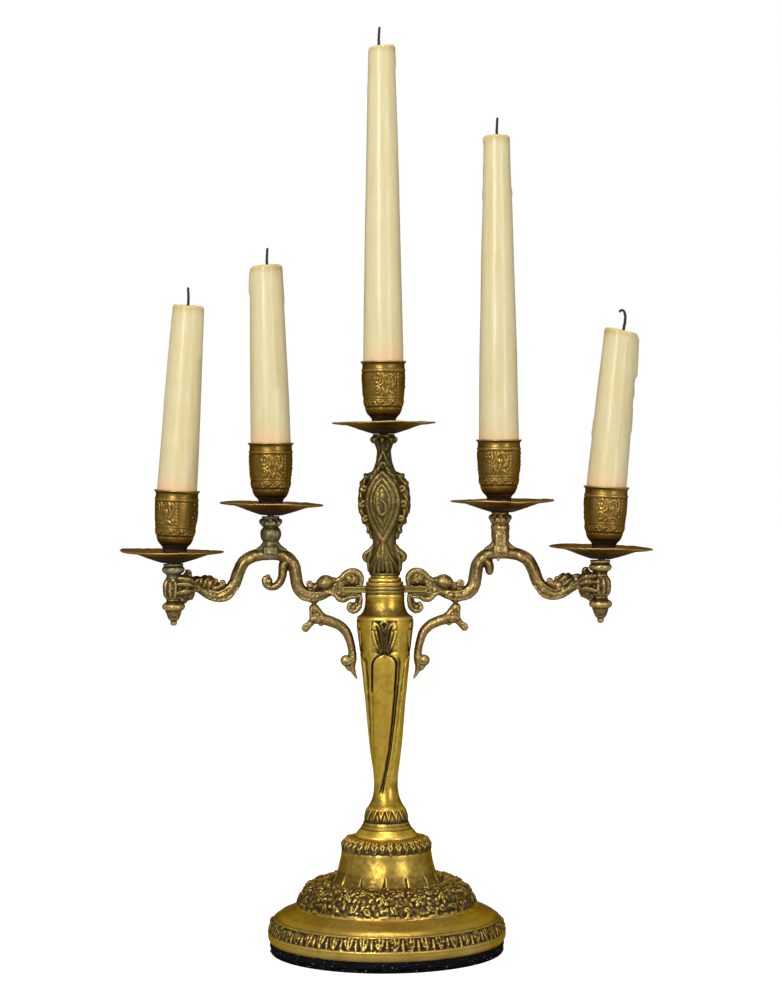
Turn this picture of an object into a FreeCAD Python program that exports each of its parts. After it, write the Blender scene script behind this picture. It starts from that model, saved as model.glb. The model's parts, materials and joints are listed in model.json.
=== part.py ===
"""Five-light brass candelabrum, in millimetres.

The origin is the centre of the felt's resting face, +Z is up, +X runs along the
branches and +Y points to the back. Every separate piece is written to its own STEP file.
"""
import FreeCAD
import Part
import math
import os
from FreeCAD import Rotation, Vector

os.makedirs("parts", exist_ok=True)

# ---- Driving dimensions ----
GAP = 0.02                  # clearance between pieces that are fixed together
SLIP = 0.05                 # radial clearance of pieces that move in each other

FELT_THICKNESS = 1.8
BOARD_TOP = 6.0
BOARD_RADIUS = 65.4
BOARD_WINDOW_RADIUS = 14.0
RIM_RADIUS = 67.8
BELL_TOP = 64.6             # height of the face that carries the stem
BELL_WEB = 2.6

ROD_RADIUS = 2.5
ROD_HOLE_RADIUS = 2.7
ROD_BOTTOM = 52.0
NUT_FLATS = 8.0
NUT_HEIGHT = 3.2
WASHER_RADIUS = 9.0
WASHER_THICKNESS = 1.5

FOOT_RADIUS = 18.0          # flared foot of the stem
WAIST_RADIUS = 6.8
SHOULDER_RADIUS = 15.8
NECK_RADIUS = 11.1
NECK_TOP = 203.6
STEM_BORE_RADIUS = 4.0
SPIGOT_RADIUS = 5.0         # the branch ring turns on this
SPIGOT_TOP = 208.0
COLLAR_TOP = 213.6
BALUSTER_DEPTH_RATIO = 0.8  # the upper baluster is flatter from front to back

RING_RADIUS = 11.7
FINGER_REACH = 25.2         # how far the ring's two fingers run into the arms
FINGER_DEPTH = 7.2

CROWN_X = {"left": 64.7, "right": 66.0}     # crown of each arch, under the inner post
LIMB_SET = {"left": 0.6, "right": 2.0}      # outward set of the limb that rises to it
CROWN_Z = 226.0
CROWN_RUN = 9.0
ARM_HALF_WIDTH = 3.5
ARM_DEPTH = 6.4
SCROLL_DEPTH = 4.6
CHEEK = 1.2                 # thickness of the saddle's cheeks
OUTER_REACH = {"left": 120.3, "right": 122.9}
BRACKET_SEAT_X = 40.5
BRACKET_SEAT_Z = 198.0
PIN_RADIUS = 1.2

BOSS_BOTTOM = 200.6         # fluted bulb at the outer end of each arm
BOSS_TOP = 213.0
STUD_RADIUS = 2.2

CENTRE_SEAT = 294.3         # faces that the drip pans rest on
INNER_SEAT = {"left": 247.8, "right": 249.3}
OUTER_SEAT = {"left": 221.1, "right": 221.7}
SEAT_RADIUS = 5.8
SEAT_EDGE = 6.9             # farthest that a seat's edge lies from its pan's centre

PAN_RADIUS = 29.6
PAN_DEPTH = 7.2
PAN_SHEET = 0.9
PAN_FLOOR_RADIUS = 8.0

CUP_HEIGHT = 40.5
CUP_FOOT_RADIUS = 5.7
CUP_FLOOR = 15.4
CUP_BORE_RADIUS = 11.5
CUP_FLOOR_RADIUS = 9.6
CUP_LIP_RADIUS = 12.9
CUP_BORE_STRAIGHT = 24.0    # the bore is straight above this height
SCREW_RADIUS = 2.0
SCREW_HOLE_RADIUS = 2.3
SCREW_HEAD_RADIUS = 3.4
SCREW_HEAD_HEIGHT = 2.0
SCREW_REACH = 8.0           # how far a cup screw runs into its seat

SOCKET_DEPTH = 21.0         # how far a candle stands in its cup
CANDLE_FOOT_RADIUS = 9.0
CANDLE_LIP_RADIUS = CUP_BORE_RADIUS - SLIP
WICK_RADIUS = 0.9
WICK_BED = 20.0

# One entry for each light: place of the cup, height of its seat, lean of pan, cup and
# candle towards +X in degrees, sideways set of the loose pan, length of candle above the
# cup's lip, its top radius, and the wick as (sideways, up) points from the candle's top.
LIGHTS = {
    "left_outer": {
        "x": -120.9, "seat": OUTER_SEAT["left"], "pan_lean": 1.4, "cup_lean": 3.0,
        "candle_lean": 3.9, "pan_set": -0.4, "length": 105.6, "top_radius": 8.9,
        "wick": ((-0.2, 0), (-0.2, 3.0), (-0.8, 9.4))},
    "left_inner": {
        "x": -CROWN_X["left"], "seat": INNER_SEAT["left"], "pan_lean": 2.0, "cup_lean": 0.3,
        "candle_lean": -1.2, "pan_set": 0.2, "length": 102.0, "top_radius": 9.2,
        "wick": ((0.6, 0), (0.6, 3.0), (1.1, 9.6))},
    "centre": {
        "x": 0.0, "seat": CENTRE_SEAT, "pan_lean": 0.0, "cup_lean": 0.0,
        "candle_lean": 0.0, "pan_set": 0.0, "length": 179.5, "top_radius": 7.5,
        "wick": ((-1.5, 0), (-1.5, 3.0), (-1.2, 9.6))},
    "right_inner": {
        "x": CROWN_X["right"] - 0.8, "seat": INNER_SEAT["right"], "pan_lean": 0.0,
        "cup_lean": 0.3, "candle_lean": -0.1, "pan_set": 2.0, "length": 174.5,
        "top_radius": 7.4, "wick": ((0.0, 0), (0.0, 3.0), (0.4, 9.6))},
    "right_outer": {
        "x": OUTER_REACH["right"] + 0.7, "seat": OUTER_SEAT["right"], "pan_lean": 2.2,
        "cup_lean": 3.0, "candle_lean": 5.7, "pan_set": -0.6, "length": 91.5,
        "top_radius": 9.6,
        "wick": ((1.2, 0), (1.2, 2.6), (0.6, 6.6), (-1.0, 9.0), (-3.4, 7.4))},
}


# ---- Helpers ----
def upright(across, up):
    return Vector(across, 0, up)


def outline(start, *steps):
    """Closed face: each step is straight to its one point, or a smooth curve through several."""
    edges = []
    here = start
    for step in steps + ((start,),):
        points = [upright(*here)] + [upright(*point) for point in step]
        if len(points) == 2:
            if points[0].distanceToPoint(points[1]) > 1e-6:
                edges.append(Part.makeLine(*points))
        else:
            curve = Part.BSplineCurve()
            curve.interpolate(points)
            edges.append(curve.toShape())
        here = step[-1]
    return Part.Face(Part.Wire(edges))


def turned(start, *steps):
    """Solid of revolution about +Z from a half outline of (radius, height) points."""
    return outline(start, *steps).revolve(Vector(), Vector(0, 0, 1), 360)


def plate(depth, start, *steps):
    """Flat piece of the given depth, centred on the XZ plane."""
    face = outline(start, *steps)
    face.translate(Vector(0, -depth / 2, 0))
    return face.extrude(Vector(0, depth, 0))


def disc(depth, x, z, radius):
    return Part.makeCylinder(radius, depth, Vector(x, -depth / 2, z), Vector(0, 1, 0))


def rounded_path(points):
    """Straight runs joined by tangent arcs that are as large as the runs allow."""
    corners = [upright(*point) for point in points]
    edges = []
    here = corners[0]
    for before, corner, after in zip(corners, corners[1:], corners[2:]):
        towards = (before - corner).normalize()
        away = (after - corner).normalize()
        bend = (math.pi - towards.getAngle(away)) / 2
        cut = min((before - corner).Length, (after - corner).Length) / 2
        radius = cut / math.tan(bend)
        middle = (towards + away).normalize() * (radius / math.cos(bend) - radius)
        arc_start = corner + towards * cut
        arc_end = corner + away * cut
        if here.distanceToPoint(arc_start) > 1e-3:
            edges.append(Part.makeLine(here, arc_start))
        edges.append(Part.Arc(arc_start, corner + middle, arc_end).toShape())
        here = arc_end
    if here.distanceToPoint(corners[-1]) > 1e-3:
        edges.append(Part.makeLine(here, corners[-1]))
    return Part.Wire(edges)


def ribbon(depth, half_width, points):
    """Flat bar that follows a rounded path in the XZ plane, with round ends."""
    face = Part.Face(rounded_path(points).makeOffset2D(half_width, 0, False, False, False))
    face.translate(Vector(0, -depth / 2, 0))
    return face.extrude(Vector(0, depth, 0))


def fused(shapes):
    whole = shapes[0].multiFuse(shapes[1:]).removeSplitter()
    return whole.Solids[0] if len(whole.Solids) == 1 else whole


def post_hole(radius, x, bottom, top):
    return Part.makeCylinder(radius, top - bottom, Vector(x, 0, bottom))


def leaning(shape, degrees, x, z):
    """A copy turned about the Y direction, so that its top moves towards +X."""
    turned_copy = shape.copy()
    turned_copy.rotate(Vector(x, 0, z), Vector(0, 1, 0), degrees)
    return turned_copy


def stretched(shape, across, depth):
    matrix = FreeCAD.Matrix()
    matrix.A11 = across
    matrix.A22 = depth
    return shape.transformGeometry(matrix)


def hexagon_nut(flats, bottom, top, bore):
    corner = flats / math.sqrt(3)
    corners = [Vector(corner, 0, 0)]
    for step in range(1, 7):
        corners.append(Rotation(Vector(0, 0, 1), 60 * step).multVec(corners[0]))
    body = Part.Face(Part.makePolygon(corners)).extrude(Vector(0, 0, top - bottom))
    body.translate(Vector(0, 0, bottom))
    return body.cut(post_hole(bore, 0, bottom, top))


# ---- Base ----
def make_felt_pad():
    return turned((0, 0), ((BOARD_RADIUS, 0),), ((BOARD_RADIUS, FELT_THICKNESS),),
                  ((0, FELT_THICKNESS),))


def make_base_board():
    return turned((BOARD_WINDOW_RADIUS, FELT_THICKNESS), ((BOARD_RADIUS, FELT_THICKNESS),),
                  ((BOARD_RADIUS, BOARD_TOP),), ((BOARD_WINDOW_RADIUS, BOARD_TOP),))


def make_base_shell():
    """Cast shell: rolled lip, cove, flower band, bell and flat top, hollow underneath."""
    bell_ceiling = BELL_TOP - BELL_WEB
    return turned(
        (ROD_HOLE_RADIUS, bell_ceiling),
        ((17.0, bell_ceiling),),
        ((22.0, 59.5), (23.8, 54.0), (26.0, 46.5), (28.5, 42.6)),
        ((38.0, 38.0), (44.5, 33.5), (47.5, 27.0), (50.5, 22.6)),
        ((58.0, 19.4), (63.0, 15.2), (64.8, 10.0)),
        ((64.8, BOARD_TOP),),
        ((66.6, BOARD_TOP),),
        ((67.5, 7.6), (RIM_RADIUS, 10.4), (66.9, 15.2), (64.9, 18.6), (61.0, 21.9)),
        ((57.0, 23.4), (53.0, 25.4)),
        ((50.2, 29.1), (48.8, 32.5), (46.6, 35.8), (41.6, 39.4), (34.4, 42.4), (30.8, 44.4)),
        ((28.6, 48.6), (26.6, 54.0), (26.0, 59.4)),
        ((25.0, 62.2), (22.6, 63.9), (20.0, BELL_TOP)),
        ((ROD_HOLE_RADIUS, BELL_TOP),),
    )


def make_base_washer():
    top = BELL_TOP - BELL_WEB
    bottom = top - WASHER_THICKNESS
    return turned((ROD_HOLE_RADIUS, bottom), ((WASHER_RADIUS, bottom),),
                  ((WASHER_RADIUS, top),), ((ROD_HOLE_RADIUS, top),))


def make_base_nut():
    top = BELL_TOP - BELL_WEB - WASHER_THICKNESS
    return hexagon_nut(NUT_FLATS, top - NUT_HEIGHT, top, ROD_RADIUS + GAP)


# ---- Centre column ----
def make_tie_rod():
    top = CENTRE_SEAT + PAN_SHEET + CUP_FLOOR + NUT_HEIGHT + 0.4
    return post_hole(ROD_RADIUS, 0, ROD_BOTTOM, top)


def make_stem():
    body = turned(
        (0, BELL_TOP),
        ((FOOT_RADIUS - 0.4, BELL_TOP),),
        ((FOOT_RADIUS, BELL_TOP + 0.8),),
        ((FOOT_RADIUS - 0.4, BELL_TOP + 1.8),),
        ((14.6, 69.8), (12.9, 73.2), (12.2, 77.2), (11.2, 80.4), (9.0, 83.9), (7.6, 87.4),
         (WAIST_RADIUS, 93.5), (7.1, 100.9), (9.4, 121.4), (12.0, 148.8), (13.6, 167.0),
         (15.2, 180.0), (SHOULDER_RADIUS, 186.0), (15.5, 190.6)),
        ((13.2, 192.4), (11.6, 195.6), (NECK_RADIUS, 200.0)),
        ((NECK_RADIUS, NECK_TOP),),
        ((SPIGOT_RADIUS, NECK_TOP),),
        ((SPIGOT_RADIUS, SPIGOT_TOP),),
        ((0, SPIGOT_TOP),),
    )
    hollow = post_hole(STEM_BORE_RADIUS, 0, BELL_TOP, NECK_TOP - 4.0)
    return body.cut(hollow).cut(post_hole(ROD_HOLE_RADIUS, 0, BELL_TOP, SPIGOT_TOP))


def make_step_collar():
    return turned(
        (ROD_HOLE_RADIUS, SPIGOT_TOP),
        ((10.6, SPIGOT_TOP),),
        ((10.9, 209.4), (10.6, 210.6)),
        ((9.4, 211.0),),
        ((9.5, 212.4), (9.0, COLLAR_TOP)),
        ((ROD_HOLE_RADIUS, COLLAR_TOP),),
    )


def make_upper_baluster():
    """Leaf socket, pair of side volutes, almond shield body, slim neck and leaf capital."""
    body = turned(
        (0, COLLAR_TOP),
        ((8.7, COLLAR_TOP),),
        ((9.1, 217.2), (10.5, 220.6), (12.3, 224.0), (9.6, 227.6), (7.8, 232.0),
         (8.4, 237.4), (11.2, 243.0), (13.6, 250.6), (14.4, 255.4), (13.8, 261.8),
         (12.0, 267.2), (9.0, 271.6), (6.2, 276.6), (4.8, 283.0), (5.4, 288.6)),
        ((7.4, 291.4), (8.0, 293.4)), ((8.0, CENTRE_SEAT),),
        ((0, CENTRE_SEAT),),
    )
    body = stretched(body, 1.0, BALUSTER_DEPTH_RATIO)
    return body.cut(post_hole(ROD_HOLE_RADIUS, 0, COLLAR_TOP, CENTRE_SEAT))


def make_centre_cup_nut():
    bottom = CENTRE_SEAT + PAN_SHEET + CUP_FLOOR
    return hexagon_nut(NUT_FLATS, bottom, bottom + NUT_HEIGHT, ROD_RADIUS + GAP)


# ---- Branches ----
def make_branch_ring():
    """Flat ring on the spigot, with a finger to each side for the arms."""
    bottom = NECK_TOP + SLIP
    top = SPIGOT_TOP - SLIP
    pieces = [Part.makeCylinder(RING_RADIUS, top - bottom, Vector(0, 0, bottom))]
    middle = (bottom + top) / 2
    half = (top - bottom) / 2
    for side in (-1, 1):
        length = FINGER_REACH - half
        corner = Vector(min(0, side * length), -FINGER_DEPTH / 2, bottom)
        pieces.append(Part.makeBox(length, FINGER_DEPTH, top - bottom, corner))
        pieces.append(disc(FINGER_DEPTH, side * length, middle, half))
    return fused(pieces).cut(post_hole(SPIGOT_RADIUS + SLIP, 0, bottom, top))


def arm_block():
    """Scrolled root of an arm, which closes above, below and behind the ring's finger."""
    upper = plate(
        SCROLL_DEPTH + 1.4,
        (13.0, SPIGOT_TOP),
        ((13.6, 211.2), (16.2, 215.0), (19.6, 216.3), (23.0, 214.4), (26.6, 211.0),
         (31.0, 210.0)),
        ((31.0, 202.6),),
        ((27.6, 201.4), (25.0, 199.4), (22.4, 200.6)),
        ((17.6, 202.2),),
        ((17.6, 198.0),),
        ((13.0, 198.0),),
    )
    lower_curl = disc(SCROLL_DEPTH, 16.8, 196.2, 3.8)
    return [upper, lower_curl]


def arm_shape(side, scroll):
    """One arm that leaves the ring towards +X: S-shaped bar, knobs, buds and end boss."""
    crown = CROWN_X[side]
    reach = OUTER_REACH[side]
    limb = LIMB_SET[side]
    half_run = CROWN_RUN / 2

    def out(share):
        """Place along the outer half of the arm, from 0 at the crown to 1 at the boss."""
        return crown + (reach - crown) * share

    bar_points = (
        (27.0, 206.5), (34.0, 206.0), (41.0, 199.0), (48.8 + limb, 205.2),
        (49.4 + limb, 214.5), (52.2 + limb, 225.2), (crown - half_run, CROWN_Z),
        (crown + half_run, CROWN_Z), (out(0.285), 225.0), (out(0.315), 214.0),
        (out(0.362), 203.6), (out(0.545), 203.4), (out(0.650), 208.8), (out(0.87), 209.0),
        (reach, 207.0),
    )
    pieces = [ribbon(ARM_DEPTH, ARM_HALF_WIDTH, bar_points)]
    pieces += arm_block()
    knobs = ((33.3, 209.4, 4.6), (42.4, 207.2, 3.0), (out(0.492), 208.4, 2.5),
             (out(0.658), 210.2, 4.7), (out(0.821), 211.0, 4.6), (out(0.843), 205.6, 3.6))
    for x, z, radius in knobs:
        pieces.append(disc(ARM_DEPTH + 1.0, x, z, radius))
    pad_half = 3.4
    pad_corner = Vector(BRACKET_SEAT_X - pad_half, -SCROLL_DEPTH / 2, BRACKET_SEAT_Z)
    pieces.append(Part.makeBox(2 * pad_half, SCROLL_DEPTH, 4.0, pad_corner))
    pieces.append(ribbon(SCROLL_DEPTH, 1.9, [(crown + x, z) for x, z in scroll]))
    boss = turned((0, BOSS_BOTTOM), ((4.3, BOSS_BOTTOM),),
                  ((5.4, 203.6), (5.9, 207.0), (5.2, 210.6), (4.0, BOSS_TOP)), ((0, BOSS_TOP),))
    boss.translate(Vector(reach, 0, 0))
    pieces.append(boss)
    arm = fused(pieces)
    half = (SPIGOT_TOP - NECK_TOP) / 2
    middle = NECK_TOP + half
    slot = Part.makeBox(FINGER_REACH - half, 20, 2 * half, Vector(0, -10, NECK_TOP))
    slot_end = disc(20, FINGER_REACH - half, middle, half + GAP)
    arm = arm.cut(slot).cut(slot_end)
    arm = arm.cut(post_hole(STUD_RADIUS + GAP, reach, BOSS_BOTTOM, BOSS_TOP))
    below_seat = Part.makeBox(3 * pad_half, 20, 4.0,
                              Vector(BRACKET_SEAT_X - 1.5 * pad_half, -10, BRACKET_SEAT_Z - 4.0))
    arm = arm.cut(below_seat)
    pin_top = BRACKET_SEAT_Z + 3.0
    arm = arm.cut(post_hole(PIN_RADIUS + GAP, BRACKET_SEAT_X, BRACKET_SEAT_Z, pin_top))
    rivet = disc(20, crown, CROWN_Z - 0.4, PIN_RADIUS + GAP)
    return arm.cut(rivet)


def half_turn(shape):
    """The left side is the right-hand casting turned by half a turn about the stem."""
    turned_copy = shape.copy()
    turned_copy.rotate(Vector(), Vector(0, 0, 1), 180)
    return turned_copy


WHOLE_SCROLL = ((-7.0, 222.0), (-8.2, 214.2), (-4.4, 208.4), (0.8, 209.8), (0.6, 211.8))
BROKEN_SCROLL = ((-6.4, 222.0), (-6.8, 218.6), (-6.6, 216.4))


def make_left_arm():
    return half_turn(arm_shape("left", WHOLE_SCROLL))


def make_right_arm():
    """The scroll inside this arch has lost its curl, and ends in a short stub."""
    return arm_shape("right", BROKEN_SCROLL)


def bracket_shape():
    """Pendant scroll under an arm: node, side curl, long tail with a bead near its tip."""
    pieces = [
        ribbon(SCROLL_DEPTH, 2.9, ((40.5, 194.6), (40.0, 190.0), (37.0, 188.6))),
        ribbon(SCROLL_DEPTH - 0.6, 2.2, ((40.0, 191.4), (31.5, 187.4), (24.4, 185.0),
                                         (20.6, 177.6), (19.6, 170.0))),
        ribbon(SCROLL_DEPTH - 1.6, 1.4, ((19.7, 172.0), (20.4, 163.6), (17.0, 156.0))),
        ribbon(SCROLL_DEPTH - 1.2, 1.2, ((40.6, 188.6), (42.8, 186.2), (45.4, 182.4))),
        disc(SCROLL_DEPTH, 21.8, 164.8, 3.3),
        disc(SCROLL_DEPTH, 45.6, 183.6, 2.4),
    ]
    seat = Part.makeBox(6.4, SCROLL_DEPTH, 6.0,
                        Vector(BRACKET_SEAT_X - 3.2, -SCROLL_DEPTH / 2, BRACKET_SEAT_Z - 6.0))
    pieces.append(seat)
    bracket = fused(pieces)
    pin_bottom = BRACKET_SEAT_Z - 3.0
    return bracket.cut(post_hole(PIN_RADIUS + GAP, BRACKET_SEAT_X, pin_bottom, BRACKET_SEAT_Z))


def make_left_bracket():
    return half_turn(bracket_shape())


def make_right_bracket():
    return bracket_shape()


def make_bracket_pins():
    reach = 3.0 - GAP
    pin = post_hole(PIN_RADIUS, BRACKET_SEAT_X, BRACKET_SEAT_Z - reach, BRACKET_SEAT_Z + reach)
    return Part.makeCompound([pin, half_turn(pin)])


def inner_post_shape(side):
    """Turned post whose foot is a saddle: two cheeks and a bridge over the arch."""
    crown = CROWN_X[side]
    seat = INNER_SEAT[side]
    crown_top = CROWN_Z + ARM_HALF_WIDTH
    post = turned(
        (0, crown_top), ((5.2, crown_top),),
        ((4.5, 231.8), (5.2, 234.6), (5.6, 237.8), (4.7, 240.8), (4.2, 242.2)),
        ((5.4, 242.9), (5.4, 244.5), (4.2, 245.2)),
        ((5.0, 246.0), (5.0, seat)), ((0, seat),),
    )
    post.translate(Vector(crown, 0, 0))
    depth = ARM_DEPTH + 2 * (CHEEK + GAP)
    bottom = CROWN_Z - ARM_HALF_WIDTH
    width = CROWN_RUN - 1.0
    start = crown - width / 2
    saddle = Part.makeBox(width, depth, crown_top + 1.4 - bottom, Vector(start, -depth / 2, bottom))
    gap = Part.makeBox(width, ARM_DEPTH + 2 * GAP, crown_top - bottom,
                       Vector(start, -ARM_DEPTH / 2 - GAP, bottom))
    body = fused([post, saddle.cut(gap)])
    return body.cut(disc(20, crown, CROWN_Z - 0.4, PIN_RADIUS + GAP))


def saddle_rivet(side):
    """Cross rivet with a low head on each cheek, through saddle and arch."""
    crown = CROWN_X[side]
    cheek_face = ARM_DEPTH / 2 + CHEEK + GAP
    head = 0.8
    height = CROWN_Z - 0.4
    rivet = disc(2 * cheek_face, crown, height, PIN_RADIUS)
    for start in (-cheek_face - head, cheek_face):
        dome = Part.makeCylinder(2.0, head, Vector(crown, start, height), Vector(0, 1, 0))
        rivet = rivet.fuse(dome)
    return rivet.removeSplitter().Solids[0]


def make_saddle_rivets():
    return Part.makeCompound([half_turn(saddle_rivet("left")), saddle_rivet("right")])


def outer_collar_shape(side):
    """Seat disc on a short neck, with a spigot down into the arm's boss."""
    seat = OUTER_SEAT[side]
    body = turned(
        (0, BOSS_TOP), ((3.9, BOSS_TOP),), ((3.7, 214.4), (4.4, 215.6)),
        ((6.0, 216.4), (6.4, 218.2), (SEAT_RADIUS, seat)), ((0, seat),),
    )
    spigot_bottom = (BOSS_BOTTOM + BOSS_TOP) / 2 + GAP
    spigot = post_hole(STUD_RADIUS, 0, spigot_bottom, BOSS_TOP)
    whole = fused([body, spigot])
    whole.translate(Vector(OUTER_REACH[side], 0, 0))
    return whole


def drop_finial_shape(side):
    """Pendant drop: disc, tapered body and ball, with a stud up into the arm's boss."""
    body = turned(
        (0, BOSS_BOTTOM), ((4.2, BOSS_BOTTOM),), ((4.1, 199.4),),
        ((6.4, 198.2), (6.7, 196.6), (5.7, 195.0), (4.1, 193.8)),
        ((4.0, 191.6), (3.2, 189.6), (2.0, 188.7)),
        ((2.15, 187.4), (1.5, 186.3), (0, 185.9)),
    )
    stud = post_hole(STUD_RADIUS, 0, BOSS_BOTTOM, (BOSS_BOTTOM + BOSS_TOP) / 2 - GAP)
    whole = fused([body, stud])
    whole.translate(Vector(OUTER_REACH[side], 0, 0))
    return whole


# ---- Lights ----
def pan_shape():
    """Thin conical drip pan with a narrow flat rim; its underside is at height 0."""
    inner_floor = PAN_FLOOR_RADIUS - 0.2
    return turned(
        (0, 0), ((PAN_FLOOR_RADIUS, 0),),
        ((12.6, 1.5), (20.0, 3.8), (27.2, 6.0)),
        ((PAN_RADIUS, 6.2),), ((PAN_RADIUS, PAN_DEPTH),), ((27.0, PAN_DEPTH - 0.2),),
        ((20.0, 4.8), (12.6, 2.5), (inner_floor, PAN_SHEET)), ((0, PAN_SHEET),),
    )


def cup_shape(hole_radius):
    """Candle cup: foot, round bottom, straight body and thin turned-out lip."""
    return turned(
        (hole_radius, 0), ((CUP_FOOT_RADIUS, 0),), ((CUP_FOOT_RADIUS, 1.0),),
        ((5.0, 2.4), (4.9, 5.6), (6.2, 7.4), (8.6, 9.2), (10.4, 12.6), (11.3, 16.4),
         (12.0, 21.6), (12.3, 27.2), (12.4, 35.2)),
        ((CUP_LIP_RADIUS, CUP_HEIGHT - 1.4),), ((CUP_LIP_RADIUS, CUP_HEIGHT),),
        ((CUP_BORE_RADIUS, CUP_HEIGHT),), ((CUP_BORE_RADIUS, CUP_BORE_STRAIGHT),),
        ((CUP_FLOOR_RADIUS, CUP_FLOOR),), ((hole_radius, CUP_FLOOR),),
    )


def candle_shape(length, top_radius, wick_x):
    """Tapered candle; height 0 is the cup's lip, and its foot is pared to fit the cup."""
    shoulder = 2.4
    body = turned(
        (0, -SOCKET_DEPTH), ((CANDLE_FOOT_RADIUS, -SOCKET_DEPTH),), ((CANDLE_LIP_RADIUS, 0),),
        ((top_radius, length - shoulder),),
        ((top_radius - 0.6, length - 0.8), (top_radius - shoulder, length - 0.2),
         (top_radius / 2, length)),
        ((0, length),),
    )
    return body.cut(post_hole(WICK_RADIUS + GAP, wick_x, length - WICK_BED, length + 1))


def wick_shape(length, points):
    """Round cord from the candle's bed to its charred tip."""
    wick_x = points[0][0]
    route = [(wick_x, length - WICK_BED + GAP)]
    route += [(across, length + up) for across, up in points[1:]]
    start = upright(*route[0])
    section = Part.Wire(Part.makeCircle(WICK_RADIUS, start, Vector(0, 0, 1)))
    return rounded_path(route).makePipeShell([section], True, True)


def light_pieces(name):
    """Pan, cup, candle and wick of one light, each leaning as it stands."""
    light = LIGHTS[name]
    x = light["x"]
    pan_lean = light["pan_lean"]
    cup_lean = light["cup_lean"]
    pan_lift = SEAT_EDGE * math.sin(math.radians(abs(pan_lean)))
    pan = pan_shape()
    pan.rotate(Vector(), Vector(0, 1, 0), pan_lean)
    pan.translate(Vector(x + light["pan_set"], 0, light["seat"] + pan_lift))

    cup_tip = CUP_FOOT_RADIUS * math.sin(math.radians(abs(cup_lean - pan_lean)))
    set_rise = abs(light["pan_set"] * math.sin(math.radians(pan_lean)))
    cup_z = light["seat"] + pan_lift + PAN_SHEET + cup_tip + set_rise
    hole_radius = ROD_HOLE_RADIUS if name == "centre" else SCREW_HOLE_RADIUS
    cup = cup_shape(hole_radius)
    cup.translate(Vector(x, 0, cup_z))
    cup = leaning(cup, cup_lean, x, cup_z)
    hole = leaning(post_hole(hole_radius, x, cup_z - 12, cup_z + 3), cup_lean, x, cup_z)
    pan = pan.cut(hole)

    axis = Vector(math.sin(math.radians(cup_lean)), 0, math.cos(math.radians(cup_lean)))
    lip = Vector(x, 0, cup_z) + axis * CUP_HEIGHT
    candle = candle_shape(light["length"], light["top_radius"], light["wick"][0][0])
    wick = wick_shape(light["length"], light["wick"])
    for shape in (candle, wick):
        shape.rotate(Vector(), Vector(0, 1, 0), light["candle_lean"])
        shape.translate(lip)
    return {"pan": pan, "cup": cup, "candle": candle, "wick": wick}, cup_z


def cup_screw(name, cup_z):
    """Cheese-head screw from the cup's floor through the pan into the seat below."""
    x = LIGHTS[name]["x"]
    lean = LIGHTS[name]["cup_lean"]
    floor = cup_z + CUP_FLOOR + GAP
    shank = post_hole(SCREW_RADIUS, x, cup_z - SCREW_REACH, floor)
    head = Part.makeCylinder(SCREW_HEAD_RADIUS, SCREW_HEAD_HEIGHT, Vector(x, 0, floor))
    slot = Part.makeBox(2 * SCREW_HEAD_RADIUS, 0.9, 1.0,
                        Vector(x - SCREW_HEAD_RADIUS, -0.45, floor + SCREW_HEAD_HEIGHT - 1.0))
    return leaning(shank.fuse(head).removeSplitter().cut(slot), lean, x, cup_z)


def tapped(seat_piece, name, cup_z):
    """Cut the hole that takes a light's cup screw into the piece below its pan."""
    x = LIGHTS[name]["x"]
    lean = LIGHTS[name]["cup_lean"]
    hole = post_hole(SCREW_RADIUS + GAP, x, cup_z - SCREW_REACH - 0.5, cup_z + 3)
    return seat_piece.cut(leaning(hole, lean, x, cup_z))


def build():
    nodes = {
        "felt_pad": make_felt_pad(),
        "base_board": make_base_board(),
        "base_shell": make_base_shell(),
        "base_washer": make_base_washer(),
        "base_nut": make_base_nut(),
        "tie_rod": make_tie_rod(),
        "stem": make_stem(),
        "step_collar": make_step_collar(),
        "upper_baluster": make_upper_baluster(),
        "centre_cup_nut": make_centre_cup_nut(),
        "branch_ring": make_branch_ring(),
        "left_arm": make_left_arm(),
        "right_arm": make_right_arm(),
        "left_bracket": make_left_bracket(),
        "right_bracket": make_right_bracket(),
        "bracket_pins": make_bracket_pins(),
        "saddle_rivets": make_saddle_rivets(),
    }
    seats = {
        "left_outer": ("left_outer_collar", half_turn(outer_collar_shape("left"))),
        "left_inner": ("left_inner_post", half_turn(inner_post_shape("left"))),
        "right_inner": ("right_inner_post", inner_post_shape("right")),
        "right_outer": ("right_outer_collar", outer_collar_shape("right")),
    }
    screws = []
    for name in LIGHTS:
        pieces, cup_z = light_pieces(name)
        for kind, shape in pieces.items():
            nodes[f"{name}_{kind}"] = shape
        if name in seats:
            node, seat_piece = seats[name]
            nodes[node] = tapped(seat_piece, name, cup_z)
            screws.append(cup_screw(name, cup_z))
    nodes["cup_screws"] = Part.makeCompound(screws)
    nodes["left_drop_finial"] = half_turn(drop_finial_shape("left"))
    nodes["right_drop_finial"] = drop_finial_shape("right")
    return nodes


for node_name, node_shape in build().items():
    node_shape.exportStep(f"parts/{node_name}.step")
    print(f"{node_name:20s} solids {len(node_shape.Solids)} valid {node_shape.isValid()} "
          f"volume {node_shape.Volume:9.1f}")
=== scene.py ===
"""Five-light brass candelabrum with burnt-down candles, on a pale studio floor.

Shapes are in millimetres until a mesh is made; the stage, lights and camera are in metres.
Angles over a surface are in radians, all other angles in degrees. +X runs to the right along
the branches, +Y to the back and +Z up, from the middle of the felt's resting face.
"""
import json
import math

import bpy
import numpy as np
from mathutils import Matrix, Vector


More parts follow.
